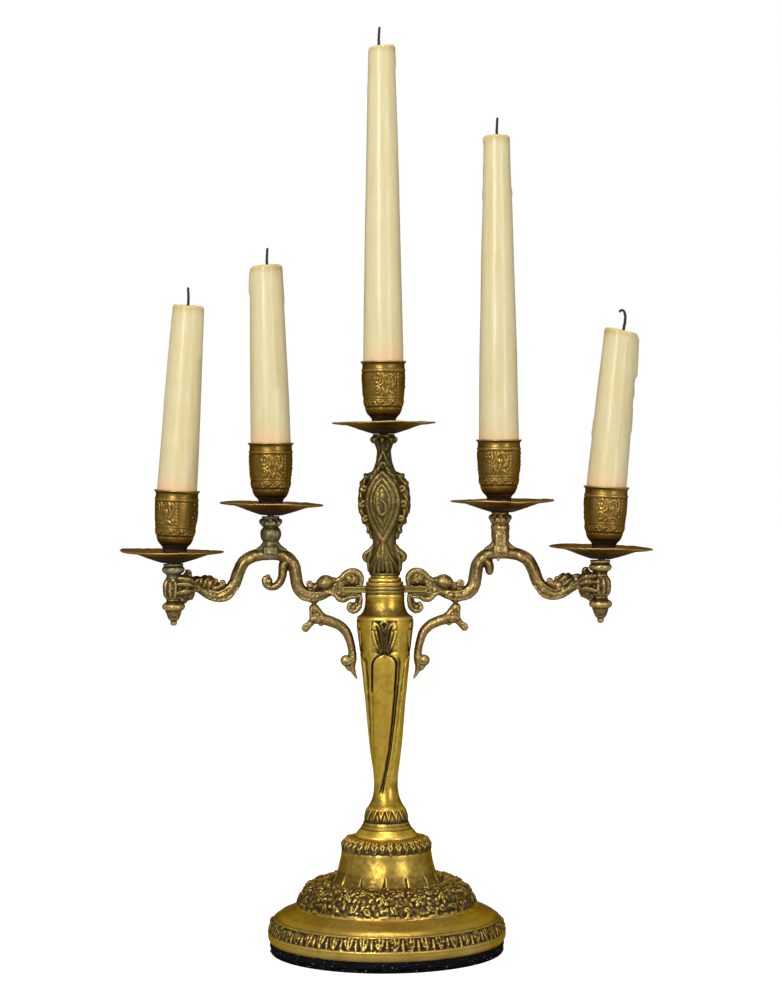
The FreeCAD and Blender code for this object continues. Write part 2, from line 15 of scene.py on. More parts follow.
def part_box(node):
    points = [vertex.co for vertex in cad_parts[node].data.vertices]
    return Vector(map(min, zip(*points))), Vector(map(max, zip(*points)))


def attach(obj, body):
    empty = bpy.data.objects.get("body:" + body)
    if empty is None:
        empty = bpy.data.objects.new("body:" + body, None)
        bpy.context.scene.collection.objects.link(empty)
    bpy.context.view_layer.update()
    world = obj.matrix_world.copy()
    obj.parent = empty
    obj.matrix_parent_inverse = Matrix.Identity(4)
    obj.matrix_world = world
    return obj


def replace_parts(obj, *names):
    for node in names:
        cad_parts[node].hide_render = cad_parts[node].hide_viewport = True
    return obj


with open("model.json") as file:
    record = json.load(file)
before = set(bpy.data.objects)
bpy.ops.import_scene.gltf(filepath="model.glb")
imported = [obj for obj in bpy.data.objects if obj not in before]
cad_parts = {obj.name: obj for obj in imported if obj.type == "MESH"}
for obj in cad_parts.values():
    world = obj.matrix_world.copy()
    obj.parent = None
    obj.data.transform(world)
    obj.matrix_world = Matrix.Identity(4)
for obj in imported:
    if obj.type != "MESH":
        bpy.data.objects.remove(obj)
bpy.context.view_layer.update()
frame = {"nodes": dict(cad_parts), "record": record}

MM = 0.001
TURN = 2 * math.pi


# ---- The frame ----
def box_mm(node):
    low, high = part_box(node)
    return np.array(low) / MM, np.array(high) / MM


def middle_of(node):
    low, high = box_mm(node)
    return (low + high) / 2


def bottom_of(node):
    return box_mm(node)[0][2]


def top_of(node):
    return box_mm(node)[1][2]


def body_holding(node):
    for body, nodes in frame["record"]["behaviour"]["bodies"].items():
        if node in nodes:
            return body


# ---- Curves and soft steps ----
def smooth_curve(points, step, spatial=0):
    """Even points along a smooth curve; columns past the spatial ones only follow along."""
    points = np.asarray(points, float)
    spatial = spatial or points.shape[1]
    chords = np.linalg.norm(np.diff(points[:, :spatial], axis=0), axis=1)
    knots = np.concatenate([[0], np.cumsum(np.sqrt(chords))])
    if len(points) > 2:
        slopes = np.gradient(points, knots, axis=0)
    else:
        slopes = np.repeat(np.diff(points, axis=0) / knots[1], 2, axis=0)
    dense = np.linspace(0, knots[-1], 24 * len(points))
    index = np.clip(np.searchsorted(knots, dense, side="right") - 1, 0, len(points) - 2)
    span = np.diff(knots)[index]
    t = ((dense - knots[index]) / span)[:, None]
    span = span[:, None]
    curve = ((2 * t**3 - 3 * t**2 + 1) * points[index]
             + (t**3 - 2 * t**2 + t) * span * slopes[index]
             + (3 * t**2 - 2 * t**3) * points[index + 1]
             + (t**3 - t**2) * span * slopes[index + 1])
    travelled = np.concatenate(
        [[0], np.cumsum(np.linalg.norm(np.diff(curve[:, :spatial], axis=0), axis=1))])
    count = max(3, int(travelled[-1] / step) + 1)
    even = np.linspace(0, travelled[-1], count)
    return np.column_stack([np.interp(even, travelled, column) for column in curve.T])


def outline(first, *others, step=0.6, corner=0.12):
    """Half outline of a turned piece; each run after the first goes on from the last one's end."""
    runs = [first]
    for run in others:
        runs.append([runs[-1][-1], *run])
    return rounded(runs, step, corner)


def rounded(runs, step, corner):
    """Even points along smooth runs that meet at slightly rounded corners."""
    rows = []
    for number, run in enumerate(runs):
        points = smooth_curve(run, step) if len(run) > 2 else straight_run(run, step)
        start = 0 if number == 0 else 1
        end = len(points) if number == len(runs) - 1 else len(points) - 1
        if number > 0:
            rows.append(points[0] + toward(points[0], points[1], corner))
        rows.extend(points[start:end])
        if number < len(runs) - 1:
            rows.append(points[-1] + toward(points[-1], points[-2], corner))
    return np.array(rows)


def straight_run(run, step):
    start, end = np.asarray(run, float)
    count = max(2, int(np.linalg.norm(end - start) / step) + 1)
    return start + (end - start) * np.linspace(0, 1, count)[:, None]


def toward(start, end, distance):
    way = end - start
    length = np.linalg.norm(way)
    return way * min(distance, length / 3) / length


def ease(x, low, high):
    """Smooth step from 0 at low to 1 at high."""
    t = np.clip((x - low) / (high - low), 0, 1)
    return t * t * (3 - 2 * t)


def window(x, low, high, soft):
    return ease(x, low - soft, low + soft) * (1 - ease(x, high - soft, high + soft))


def bump(x, width):
    return np.exp(-(x / width) ** 2)


def dome(x, y):
    return np.sqrt(np.clip(1 - x * x - y * y, 0, 1))


def cell(angle, count, phase=0.0):
    """Place inside one of count repeats round the axis, from -0.5 to 0.5, and its number."""
    turns = angle / TURN * count + phase
    number = np.floor(turns)
    return turns - number - 0.5, np.mod(number, count).astype(int)


def lumps(u, v, seed, wrap=0):
    """Smooth random heights from -1 to 1 on a unit lattice, repeating every wrap cells of u."""
    lattice = np.random.default_rng(seed).uniform(-1, 1, (64, 64))
    u0 = np.floor(u).astype(int)
    v0 = np.floor(v).astype(int)
    fu = u - u0
    fv = v - v0
    fu = fu * fu * (3 - 2 * fu)
    fv = fv * fv * (3 - 2 * fv)

    def knot(i, j):
        i = np.mod(i, wrap) if wrap else i
        return lattice[np.mod(i, 64), np.mod(j, 64)]

    low = knot(u0, v0) * (1 - fu) + knot(u0 + 1, v0) * fu
    high = knot(u0, v0 + 1) * (1 - fu) + knot(u0 + 1, v0 + 1) * fu
    return low * (1 - fv) + high * fv


def stroke(u, v, points, width):
    """Rounded ridge along a smooth line drawn on a surface."""
    line = smooth_curve(points, 0.8)
    nearest = np.full(np.broadcast(u, v).shape, 1e9)
    for start, end in zip(line, line[1:]):
        way = end - start
        share = ((u - start[0]) * way[0] + (v - start[1]) * way[1]) / (way @ way)
        share = np.clip(share, 0, 1)
        gap = np.hypot(u - start[0] - share * way[0], v - start[1] - share * way[1])
        nearest = np.minimum(nearest, gap)
    return np.sqrt(np.clip(1 - (nearest / width) ** 2, 0, 1))


# ---- Meshes ----
STAY = 0.35             # share of its own place that a point keeps in a round of smoothing
FINE_DEPTH = 0.35       # depth of fine relief, against that of broad relief
MOST_PATINA_AND_SHADE = 3


def in_scene(name, data):
    made = bpy.data.objects.new(name, data)
    bpy.context.scene.collection.objects.link(made)
    return made


def vectors(mesh, key):
    """One row of three numbers for each point of a mesh."""
    values = np.empty(len(mesh.vertices) * 3)
    mesh.vertices.foreach_get(key, values)
    return values.reshape(-1, 3)


def store(mesh, key, values):
    mesh.attributes.new(key, "FLOAT", "POINT").data.foreach_set("value", values)


def riding(name, mesh, node, material):
    """Smooth piece of one material, on the body of the node that it stands for."""
    mesh.materials.clear()
    mesh.materials.append(material)
    mesh.polygons.foreach_set("use_smooth", np.ones(len(mesh.polygons), bool))
    mesh.update()
    piece = in_scene(name, mesh)
    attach(piece, body_holding(node))
    return piece


def new_piece(name, node, part, material):
    """Piece from its points and its faces, which are loops of point numbers."""
    verts, faces = part
    mesh = bpy.data.meshes.new(name)
    mesh.from_pydata(verts * MM, [], faces)
    mesh.validate()
    return riding(name, mesh, node, material)


def aged_piece(name, node, part, material, depth, patina_and_shade=None):
    """Metal piece in place of a node, with its recesses marked."""
    piece = new_piece(name, node, part, material)
    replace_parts(mark_recesses(piece, depth, patina_and_shade=patina_and_shade), node)


def mark_recesses(piece, depth, reach=30, patina_and_shade=None):
    """Store how far each point lies below (1) or above (0) the smoothed surface round it.

    Fine relief shows after a sixth of the reach, in rounds of smoothing, and broad relief
    after all of it. The last argument, a function of the points, says how much patina is left, 0 to 3; on
    the drip pans it also carries painted shade.
    """
    mesh = piece.data
    count = len(mesh.vertices)
    points = vectors(mesh, "co") / MM
    normals = vectors(mesh, "normal")
    edges = np.empty(len(mesh.edges) * 2, int)
    mesh.edges.foreach_get("vertices", edges)
    first, second = edges.reshape(-1, 2).T
    links = np.maximum(np.bincount(np.concatenate([first, second]), minlength=count), 1)
    scales = {reach // 6: FINE_DEPTH * depth, reach: depth}
    soft = points
    recess = np.zeros(count)
    for turn in range(1, reach + 1):
        total = np.column_stack([np.bincount(first, line[second], count)
                                 + np.bincount(second, line[first], count) for line in soft.T])
        soft = STAY * soft + (1 - STAY) * total / links[:, None]
        if turn in scales:
            recess += ((soft - points) * normals).sum(axis=1) / scales[turn]
    store(mesh, "recess", np.clip(0.5 + 0.25 * recess, 0, 1))
    if patina_and_shade:
        store(mesh, "patina_and_shade", np.clip(patina_and_shade(*points.T), 0, MOST_PATINA_AND_SHADE))
    return piece


def grid_faces(rows, columns, wrap=True):
    """Quads of a grid of points, row after row, closed round the columns."""
    row = np.arange(rows - 1)[:, None]
    column = np.arange(columns if wrap else columns - 1)[None, :]
    following = (column + 1) % columns
    corners = [row * columns + column, row * columns + following,
               (row + 1) * columns + following, (row + 1) * columns + column]
    corners = [np.broadcast_to(corner, (rows - 1, column.size)) for corner in corners]
    return np.stack(corners, -1).reshape(-1, 4)


class Turning:
    """Turned surface on which relief is laid: angle 0 faces the front and 90 faces +X."""

    def __init__(self, rows, columns):
        self.rows = rows
        self.columns = columns
        self.r = rows[:, 0][:, None]
        self.z = rows[:, 1][:, None]
        steps = np.linalg.norm(np.diff(rows, axis=0), axis=1)
        self.s = np.concatenate([[0], np.cumsum(steps)])[:, None]
        self.angle = np.linspace(-math.pi, math.pi, columns, endpoint=False)[None, :]
        self.relief = np.zeros((len(rows), columns))

    def along(self, z, r=None):
        """Distance along the outline of its point nearest to height z (and radius r)."""
        gap = np.abs(self.z[:, 0] - z)
        if r is not None:
            gap = gap + np.abs(self.r[:, 0] - r)
        return self.s[np.argmin(gap), 0]

    def stamp(self, angle, along, reach, turn, motif, blend=np.maximum):
        """Lay a motif, given as heights over (u, v) in millimetres, at one place."""
        rows = np.nonzero(np.abs(self.s[:, 0] - along) < reach)[0]
        if not len(rows):
            return
        radius = max(float(self.r[rows].mean()), 0.5)
        away = np.mod(self.angle[0] - math.radians(angle) + math.pi, TURN) - math.pi
        columns = np.nonzero(np.abs(away) * radius < reach)[0]
        u = away[columns][None, :] * self.r[rows]
        v = self.s[rows] - along
        cosine = math.cos(math.radians(turn))
        sine = math.sin(math.radians(turn))
        where = np.ix_(rows, columns)
        height = motif(u * cosine + v * sine, v * cosine - u * sine)
        self.relief[where] = blend(self.relief[where], height)

    def points(self):
        slope = np.gradient(self.rows, axis=0)
        slope /= np.maximum(np.linalg.norm(slope, axis=1), 1e-9)[:, None]
        radius = np.maximum(self.r + self.relief * slope[:, 1][:, None], 0.02)
        height = self.z - self.relief * slope[:, 0][:, None]
        x = radius * np.sin(self.angle)
        y = -radius * np.cos(self.angle)
        return np.stack([x, y, np.broadcast_to(height, x.shape)], -1).reshape(-1, 3)

    def faces(self):
        quads = grid_faces(len(self.rows), self.columns).tolist()
        last = (len(self.rows) - 1) * self.columns
        quads.append(list(range(self.columns))[::-1])
        quads.append([last + column for column in range(self.columns)])
        return quads


def turned(rows, columns, carve=None):
    """Points and faces of a turned piece with its relief, closed at both ends."""
    work = Turning(rows, columns)
    if carve:
        carve(work)
    return work.points(), work.faces()


CAP_ANGLES = (85, 62, 40, 18)
BLOB_ROWS = 13
BLOB_SIDES = 20


def sweep(points, radius, depth=1.0, sides=20, step=0.7, lobes=(0, 0.0, 0.0), ridge=0.0):
    """Closed bar with round ends along (x, z) or (x, y, z) points.

    Depth is the ratio of its front-to-back size to its width. Lobes gives the number of
    strands, their depth and their turns along the bar; ridge sharpens its front and back.
    """
    points = np.asarray(points, float)
    if points.shape[1] == 2:
        points = np.column_stack([points[:, 0], np.zeros(len(points)), points[:, 1]])
    radius = np.broadcast_to(np.asarray(radius, float), len(points))
    path = smooth_curve(np.column_stack([points, radius]), step, 3)
    centres, radii = path[:, :3], path[:, 3]
    ahead = np.gradient(centres, axis=0)
    ahead /= np.linalg.norm(ahead, axis=1)[:, None]
    cap = np.radians(CAP_ANGLES)
    front = centres[0] - np.sin(cap)[:, None] * ahead[0] * radii[0]
    back = centres[-1] + np.sin(cap[::-1])[:, None] * ahead[-1] * radii[-1]
    centres = np.vstack([front, centres, back])
    radii = np.concatenate([np.cos(cap) * radii[0], radii, np.cos(cap[::-1]) * radii[-1]])
    ahead = np.vstack([np.repeat(ahead[:1], len(cap), 0), ahead, np.repeat(ahead[-1:], len(cap), 0)])
    sideways = np.cross(ahead, [0, 1, 0])
    sideways /= np.linalg.norm(sideways, axis=1)[:, None]
    deep = np.cross(sideways, ahead)
    around = np.linspace(0, TURN, sides, endpoint=False)[None, :]
    share = np.linspace(0, 1, len(centres))[:, None]
    size = radii[:, None] * np.ones_like(around)
    if lobes[0]:
        size = size * (1 + lobes[1] * (np.cos(lobes[0] * (around - lobes[2] * TURN * share)) - 0.4))
    across = np.cos(around)
    inward = np.sin(around)
    inward = inward * (1 + ridge * (np.abs(inward) ** 3 - 0.5 * np.abs(across)))
    verts = (centres[:, None] + sideways[:, None] * (size * across)[..., None]
             + deep[:, None] * (size * inward)[..., None] * depth)
    quads = grid_faces(len(centres), sides)[:, ::-1].tolist()
    last = (len(centres) - 1) * sides
    quads.append(list(range(sides)))
    quads.append([last + side for side in range(sides)][::-1])
    return verts.reshape(-1, 3), quads


def blob(centre, radii, turn=0.0):
    """Rounded lump; turn tips it about the Y direction."""
    up = np.radians(np.linspace(-88, 88, BLOB_ROWS))[:, None]
    around = np.linspace(0, TURN, BLOB_SIDES, endpoint=False)[None, :]
    verts = np.stack([np.cos(up) * np.cos(around) * radii[0],
                      np.cos(up) * np.sin(around) * radii[1],
                      np.sin(up) * np.ones_like(around) * radii[2]], -1).reshape(-1, 3)
    verts = verts @ rotation(turn, "Y").T
    quads = grid_faces(BLOB_ROWS, BLOB_SIDES).tolist()
    last = (BLOB_ROWS - 1) * BLOB_SIDES
    quads.append(list(range(BLOB_SIDES))[::-1])
    quads.append([last + side for side in range(BLOB_SIDES)])
    return verts + np.array(centre), quads


def curl(centre, start_radius, end_radius, start_angle, turns, count=12):
    """Points of a spiral from its outer end inwards; positive turns wind from +X to +Z."""
    share = np.linspace(0, 1, count)
    radius = start_radius * (end_radius / start_radius) ** share
    angle = np.radians(start_angle) + share * turns * TURN
    return [(centre[0] + r * math.cos(a), centre[1] + r * math.sin(a)) for r, a in zip(radius, angle)]


def rotation(degrees, axis):
    return np.array(Matrix.Rotation(math.radians(degrees), 3, axis))


def swung(parts, degrees):
    """Parts turned about Z."""
    return [(verts @ rotation(degrees, "Z").T, faces) for verts, faces in parts]


def at_depth(line, y):
    """Points of an (x, z) line at the given y."""
    return [(x, y, z) for x, z in line]


def joined(parts):
    verts = []
    faces = []
    count = 0
    for part_verts, part_faces in parts:
        verts.append(part_verts)
        faces.extend([index + count for index in face] for face in part_faces)
        count += len(part_verts)
    return np.vstack(verts), faces


def cast(name, node, parts, material, grain=0.34, soften=3, carve=None, patina_and_shade=None):
    """One skin over overlapping parts, as metal poured in a mould, with soft inner corners."""
    verts, faces = joined(parts)
    mesh = bpy.data.meshes.new(name + ".rough")
    mesh.from_pydata(verts, [], faces)
    rough = in_scene(name + ".rough", mesh)
    remesh = rough.modifiers.new("skin", "REMESH")
    remesh.mode = "VOXEL"
    remesh.voxel_size = grain
    melt = rough.modifiers.new("melt", "SMOOTH")
    melt.factor = 0.5
    melt.iterations = soften
    bpy.context.view_layer.update()
    skin = bpy.data.meshes.new_from_object(rough.evaluated_get(bpy.context.evaluated_depsgraph_get()))
    bpy.data.objects.remove(rough)
    points = vectors(skin, "co")
    if carve:
        points = points + vectors(skin, "normal") * carve(points)[:, None]
    skin.vertices.foreach_set("co", (points * MM).ravel())
    skin.name = name
    piece = riding(name, skin, node, material)
    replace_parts(mark_recesses(piece, depth=0.55, reach=24, patina_and_shade=patina_and_shade), node)


# ---- Materials ----
class Nodes:
    """Short calls that add nodes to a tree."""

    def __init__(self, tree):
        self.tree = tree

    def node(self, kind, **settings):
        made = self.tree.nodes.new(kind)
        for key, value in settings.items():
            setattr(made, key, value)
        return made

    def feed(self, socket, value):
        if isinstance(value, bpy.types.NodeSocket):
            self.tree.links.new(value, socket)
        else:
            socket.default_value = value

    def levels(self, value, low, high, out_low=0.0, out_high=1.0):
        made = self.node("ShaderNodeMapRange", interpolation_type="SMOOTHSTEP")
        self.feed(made.inputs["Value"], value)
        for key, number in zip(("From Min", "From Max", "To Min", "To Max"),
                               (low, high, out_low, out_high)):
            self.feed(made.inputs[key], number)
        return made.outputs["Result"]

    def maths(self, operation, first, second):
        made = self.node("ShaderNodeMath", operation=operation)
        self.feed(made.inputs[0], first)
        self.feed(made.inputs[1], second)
        return made.outputs[0]

    def ramp(self, value, *stops):
        """Colour by value from (position, colour) stops."""
        made = self.node("ShaderNodeValToRGB")
        elements = made.color_ramp.elements
        while len(elements) < len(stops):
            elements.new(0.5)
        for element, (position, colour) in zip(elements, stops):
            element.position = position
            element.color = (*colour, 1)
        self.feed(made.inputs["Fac"], value)
        return made.outputs["Color"]

    def mix(self, factor, first, second, blend="MIX"):
        made = self.node("ShaderNodeMix", data_type="RGBA", blend_type=blend)
        self.feed(made.inputs["Factor"], factor)
        for socket, value in zip((made.inputs[6], made.inputs[7]), (first, second)):
            self.feed(socket, (*value, 1) if isinstance(value, tuple) else value)
        return made.outputs[2]


class Shader(Nodes):
    """One material and its nodes; sizes in the calls are millimetres."""

    def __init__(self, name):
        self.material = bpy.data.materials.new(name)
        self.material.use_nodes = True
        super().__init__(self.material.node_tree)
        self.surface = self.tree.nodes["Principled BSDF"]
        self.place = self.node("ShaderNodeTexCoord").outputs["Object"]

    def set(self, **inputs):
        for key, value in inputs.items():
            self.feed(self.surface.inputs[key.replace("_", " ")], value)

    def attribute(self, name):
        return self.node("ShaderNodeAttribute", attribute_name=name).outputs["Fac"]

    def noise(self, size, detail=3.0, roughness=0.55, stretch=(1, 1, 1), distortion=0.0):
        """Smooth random factor whose features are about the given size."""
        mapping = self.node("ShaderNodeMapping")
        self.feed(mapping.inputs["Vector"], self.place)
        self.feed(mapping.inputs["Scale"], [1 / (size * MM * part) for part in stretch])
        made = self.node("ShaderNodeTexNoise")
        self.feed(made.inputs["Vector"], mapping.outputs[0])
        self.feed(made.inputs["Scale"], 1.0)
        self.feed(made.inputs["Detail"], detail)
        self.feed(made.inputs["Roughness"], roughness)
        self.feed(made.inputs["Distortion"], distortion)
        return made.outputs["Fac"]

    def relief(self, *layers):
        """Bump from (height, strength, depth in millimetres) layers, coarse to fine."""
        normal = None
        for height, strength, depth in layers:
            made = self.node("ShaderNodeBump")
            self.feed(made.inputs["Height"], height)
            self.feed(made.inputs["Strength"], strength)
            self.feed(made.inputs["Distance"], depth * MM)
            if normal:
                self.feed(made.inputs["Normal"], normal)
            normal = made.outputs[0]
        self.set(Normal=normal)


PATINA_AND_SHADE_SHIFT = 0.17        # how far one unit of patina, and of painted shade on the drip pans, moves a point's colour towards the pits


def aged_metal(name, worn, plain, dull, pit, recess="recess", rough=0.28, green=0.0, copper=0.25,
               uneven=0.07):
    """Old brass: rubbed bright on what stands proud, tarnished on the flats, black in the pits."""
    shader = Shader(name)
    depth = shader.attribute(recess) if recess else 0.5
    patina_and_shade = shader.attribute("patina_and_shade")
    patches = shader.noise(24, detail=4, distortion=0.6)
    mottle = shader.noise(2.6, detail=6, roughness=0.7)
    grain = shader.noise(0.6, detail=3)
    depth = shader.maths("ADD", depth, shader.levels(mottle, 0.25, 0.75, -uneven, uneven))
    # Patina, and on the drip pans painted shade, moves the colour towards the pits.
    depth = shader.maths("ADD", depth, shader.maths("MULTIPLY", patina_and_shade, PATINA_AND_SHADE_SHIFT))
    colour = shader.ramp(depth, (0.20, worn), (0.46, plain), (0.66, dull), (0.90, pit))
    stain = shader.mix(shader.levels(patches, 0.40, 0.68), (1.0, 1.0, 1.0), (0.74, 0.68, 0.58))
    colour = shader.mix(0.8, colour, stain, "MULTIPLY")
    blush = shader.levels(shader.noise(15, detail=5, distortion=0.4), 0.56, 0.74, 0.0, copper)
    colour = shader.mix(blush, colour, (0.55, 0.27, 0.13))
    speck = shader.levels(grain, 0.60, 0.72)
    colour = shader.mix(shader.maths("MULTIPLY", speck, 0.4), colour, dull)
    if green:
        growth = shader.levels(shader.noise(6, detail=5), 0.52, 0.66, 0.0, green)
        colour = shader.mix(growth, colour, (0.19, 0.25, 0.15))
    # Deep pits, patina and the drip pans' painted shade make the metal duller, rougher and less metallic.
    dirt_and_shade = shader.levels(depth, 0.56, 0.90)
    roughness = shader.maths("ADD", shader.levels(mottle, 0.3, 0.75, rough, rough + 0.14),
                             shader.maths("MULTIPLY", dirt_and_shade, 0.35))
    shader.set(Base_Color=colour, Roughness=roughness,
               Metallic=shader.levels(dirt_and_shade, 0.0, 1.0, 1.0, 0.55),
               Specular_Tint=shader.mix(dirt_and_shade, worn, dull))
    shader.relief((mottle, 0.45, 0.25), (grain, 0.3, 0.06))
    return shader.material


def wax_material():
    """Cream candle wax: soft light inside it, warmer where it is thin, marked and old; painted shade at
    its sides, painted cup glow.
    """
    shader = Shader("wax")
    painted_cup_reflection = shader.attribute("painted_cup_reflection")
    streaks = shader.noise(5, detail=3, stretch=(1, 1, 9))
    blotch = shader.noise(14, detail=2)
    colour = shader.ramp(streaks, (0.30, (0.69, 0.59, 0.30)), (0.55, (0.75, 0.67, 0.40)),
                         (0.75, (0.71, 0.60, 0.30)))
    colour = shader.mix(shader.levels(blotch, 0.45, 0.7, 0.0, 0.5), colour, (0.74, 0.60, 0.30))
    # Darker gold at the worn top; down the left and right sides, as seen from the front, this is painted
    # shade.
    colour = shader.mix(shader.attribute("honey_and_side_shade"), colour, (0.56, 0.42, 0.15))
    # Painted warm reflection of the brass cup on the wax just above the lip.
    colour = shader.mix(painted_cup_reflection, colour, (0.92, 0.52, 0.28))
    shader.set(Base_Color=colour, Roughness=shader.levels(blotch, 0.3, 0.7, 0.30, 0.44),
               Subsurface_Weight=0.55, Subsurface_Scale=0.004, IOR=1.44, Coat_Weight=0.3,
               Coat_Roughness=0.18)
    shader.feed(shader.surface.inputs["Subsurface Radius"], (1.0, 0.65, 0.35))
    shader.relief((shader.noise(7, detail=2, stretch=(1, 1, 4)), 0.5, 0.35),
                  (shader.noise(1.2, detail=3), 0.15, 0.08))
    return shader.material


def wick_material():
    shader = Shader("charred wick")
    grain = shader.noise(0.6, detail=4)
    shader.set(Base_Color=shader.ramp(grain, (0.35, (0.006, 0.006, 0.008)),
                                      (0.75, (0.035, 0.033, 0.035))),
               Roughness=0.75)
    shader.relief((grain, 0.6, 0.2))
    return shader.material


def felt_material():
    """Black felt with pale lint caught in it."""
    shader = Shader("black felt")
    nap = shader.noise(0.5, detail=4)
    lint = shader.levels(shader.noise(1.5, detail=2, stretch=(1, 1, 0.6)), 0.67, 0.70)
    base = shader.ramp(nap, (0.3, (0.002, 0.002, 0.003)), (0.7, (0.007, 0.007, 0.009)))
    shader.set(Base_Color=shader.mix(lint, base, (0.42, 0.43, 0.46)), Roughness=1.0, IOR=1.04)
    shader.relief((nap, 0.8, 0.4))
    return shader.material


def board_material():
    shader = Shader("black board")
    grain = shader.noise(1.2, detail=4, stretch=(8, 1, 1))
    lint = shader.levels(shader.noise(1.4, detail=2), 0.68, 0.71)
    base = shader.ramp(grain, (0.3, (0.003, 0.003, 0.005)), (0.7, (0.009, 0.009, 0.011)))
    shader.set(Base_Color=shader.mix(lint, base, (0.35, 0.36, 0.38)), Roughness=0.9, IOR=1.12)
    shader.relief((grain, 0.5, 0.2))
    return shader.material


def steel_material():
    shader = Shader("dull steel")
    grain = shader.noise(1.0, detail=4, stretch=(1, 1, 4))
    shader.set(Base_Color=shader.ramp(grain, (0.3, (0.20, 0.19, 0.18)), (0.7, (0.36, 0.35, 0.33))),
               Roughness=shader.levels(grain, 0.3, 0.7, 0.35, 0.55), Metallic=1.0)
    shader.relief((grain, 0.3, 0.05))
    return shader.material


BRASS = aged_metal("aged brass", (0.76, 0.54, 0.15), (0.57, 0.38, 0.07), (0.19, 0.13, 0.035),
                   (0.035, 0.029, 0.022), copper=0.45)
STEM_BRASS = aged_metal("polished brass", (0.88, 0.63, 0.15), (0.78, 0.53, 0.07), (0.22, 0.15, 0.035),
                        (0.03, 0.023, 0.014))
CUP_BRASS = aged_metal("browned brass", (0.64, 0.42, 0.10), (0.38, 0.24, 0.045), (0.16, 0.10, 0.03),
                       (0.035, 0.024, 0.014), copper=0.4)
PAN_BRASS = aged_metal("tarnished brass", (0.55, 0.36, 0.13), (0.30, 0.20, 0.07), (0.12, 0.08, 0.04),
                       (0.03, 0.022, 0.016), rough=0.36, copper=0.5)
OLIVE_BRASS = aged_metal("olive brass", (0.60, 0.45, 0.15), (0.33, 0.25, 0.07), (0.13, 0.10, 0.035),
                         (0.03, 0.024, 0.014), rough=0.34)
BRONZE = aged_metal("brown bronze", (0.60, 0.44, 0.165), (0.38, 0.265, 0.09), (0.15, 0.10, 0.04),
                    (0.035, 0.027, 0.016), rough=0.33, green=0.22, copper=0.45, uneven=0.17)
VERDIGRIS = aged_metal("bronze with verdigris", (0.50, 0.42, 0.22), (0.24, 0.20, 0.10),
                       (0.11, 0.10, 0.06), (0.05, 0.06, 0.04), rough=0.4, green=0.8)
PLAIN_BRONZE = aged_metal("brown bronze pins", (0.54, 0.42, 0.19), (0.27, 0.205, 0.08),
                          (0.12, 0.09, 0.04), (0.035, 0.027, 0.016), recess=None, rough=0.34)
WAX = wax_material()
WICK = wick_material()
FELT = felt_material()
BOARD = board_material()
STEEL = steel_material()


# ---- Base ----
EGGS = 48
RIM_RADIUS = 66.5
FLOWERS = 15
PETALS = 14
PETAL_RADIUS = 30
RIM_LEAVES = 34
LEAF_RADIUS = 25


def carve_rim(work):
    """Ring of pointed leaves and darts round the outer shoulder, above a plain lip."""
    low = work.along(12.2, 67.6)
    high = work.along(18.6, 65.0)
    v = (work.s - low) / (high - low)
    around = work.angle / TURN
    place, _ = cell(work.angle, EGGS)
    wear = 0.7 + 0.5 * lumps(around * 170, v * 3, 11, 170)
    u = place * TURN * RIM_RADIUS / EGGS
    half = 0.5 + 3.0 * np.clip(v, 0, 1) ** 0.55
    leaf = dome(u / half, (v - 0.55) / 0.75) * 1.1
    leaf -= 0.5 * bump(np.abs(u) - 0.3 - 0.9 * v, 0.45) * ease(v, 0.1, 0.5)
    side = np.abs(place)
    dart = dome((side - 0.5) * TURN * RIM_RADIUS / EGGS / 0.95, (v - 0.42) / 0.5) * 0.9
    beads = 0.5 * np.maximum(lumps(around * 320, work.s / 0.9, 12, 320), 0)
    ring = (np.maximum(leaf, dart) * wear + beads - 0.3) * window(v, 0.0, 1.0, 0.05)
    lines = 0.25 * bump(v + 0.10, 0.06) + 0.35 * bump(v - 1.08, 0.07)
    dents = 0.10 * lumps(around * 40, work.s / 5, 13, 40)
    work.relief += ring + lines + dents


def rose(u, v):
    """Open flower: a bead, five inner and five outer petals."""
    u, v = 1.2 * u, 1.2 * v
    distance = np.hypot(u, v)
    angle = np.arctan2(v, u)
    outer = dome((distance - 3.0) / 2.6, np.sin(2.5 * angle) / 1.15) * 1.6
    inner = dome((distance - 1.6) / 1.5, np.sin(2.5 * angle + 1.2) / 1.2) * 2.1
    return np.maximum(np.maximum(outer, inner), 2.3 * dome(u / 1.0, v / 1.0))


def leaf_spray(u, v):
    """Pointed leaf along +u with a sunk midrib and slanting veins."""
    u, v = 1.35 * u, 1.2 * v
    t = (u + 4.2) / 8.4
    half = 2.5 * np.sin(np.pi * np.clip(t, 0, 1) ** 0.8) + 0.01
    body = np.sqrt(np.clip(1 - (v / half) ** 2, 0, 1)) * (t > 0) * (t < 1)
    veins = 0.35 * np.cos((u - 1.3 * np.abs(v)) * 3.6)
    return body * (1.5 + veins) - 0.7 * body * bump(v, 0.35)


def berry(u, v):
    return 1.7 * dome(u / 1.25, v / 1.25)


# Leaves beside one flower: share of the way to the next flower, and of the band's width.
GARLAND_LEAVES = ((0.30, -0.30), (0.48, 0.10), (0.70, -0.32), (0.40, 0.36), (0.62, 0.30), (0.05, 0.42))


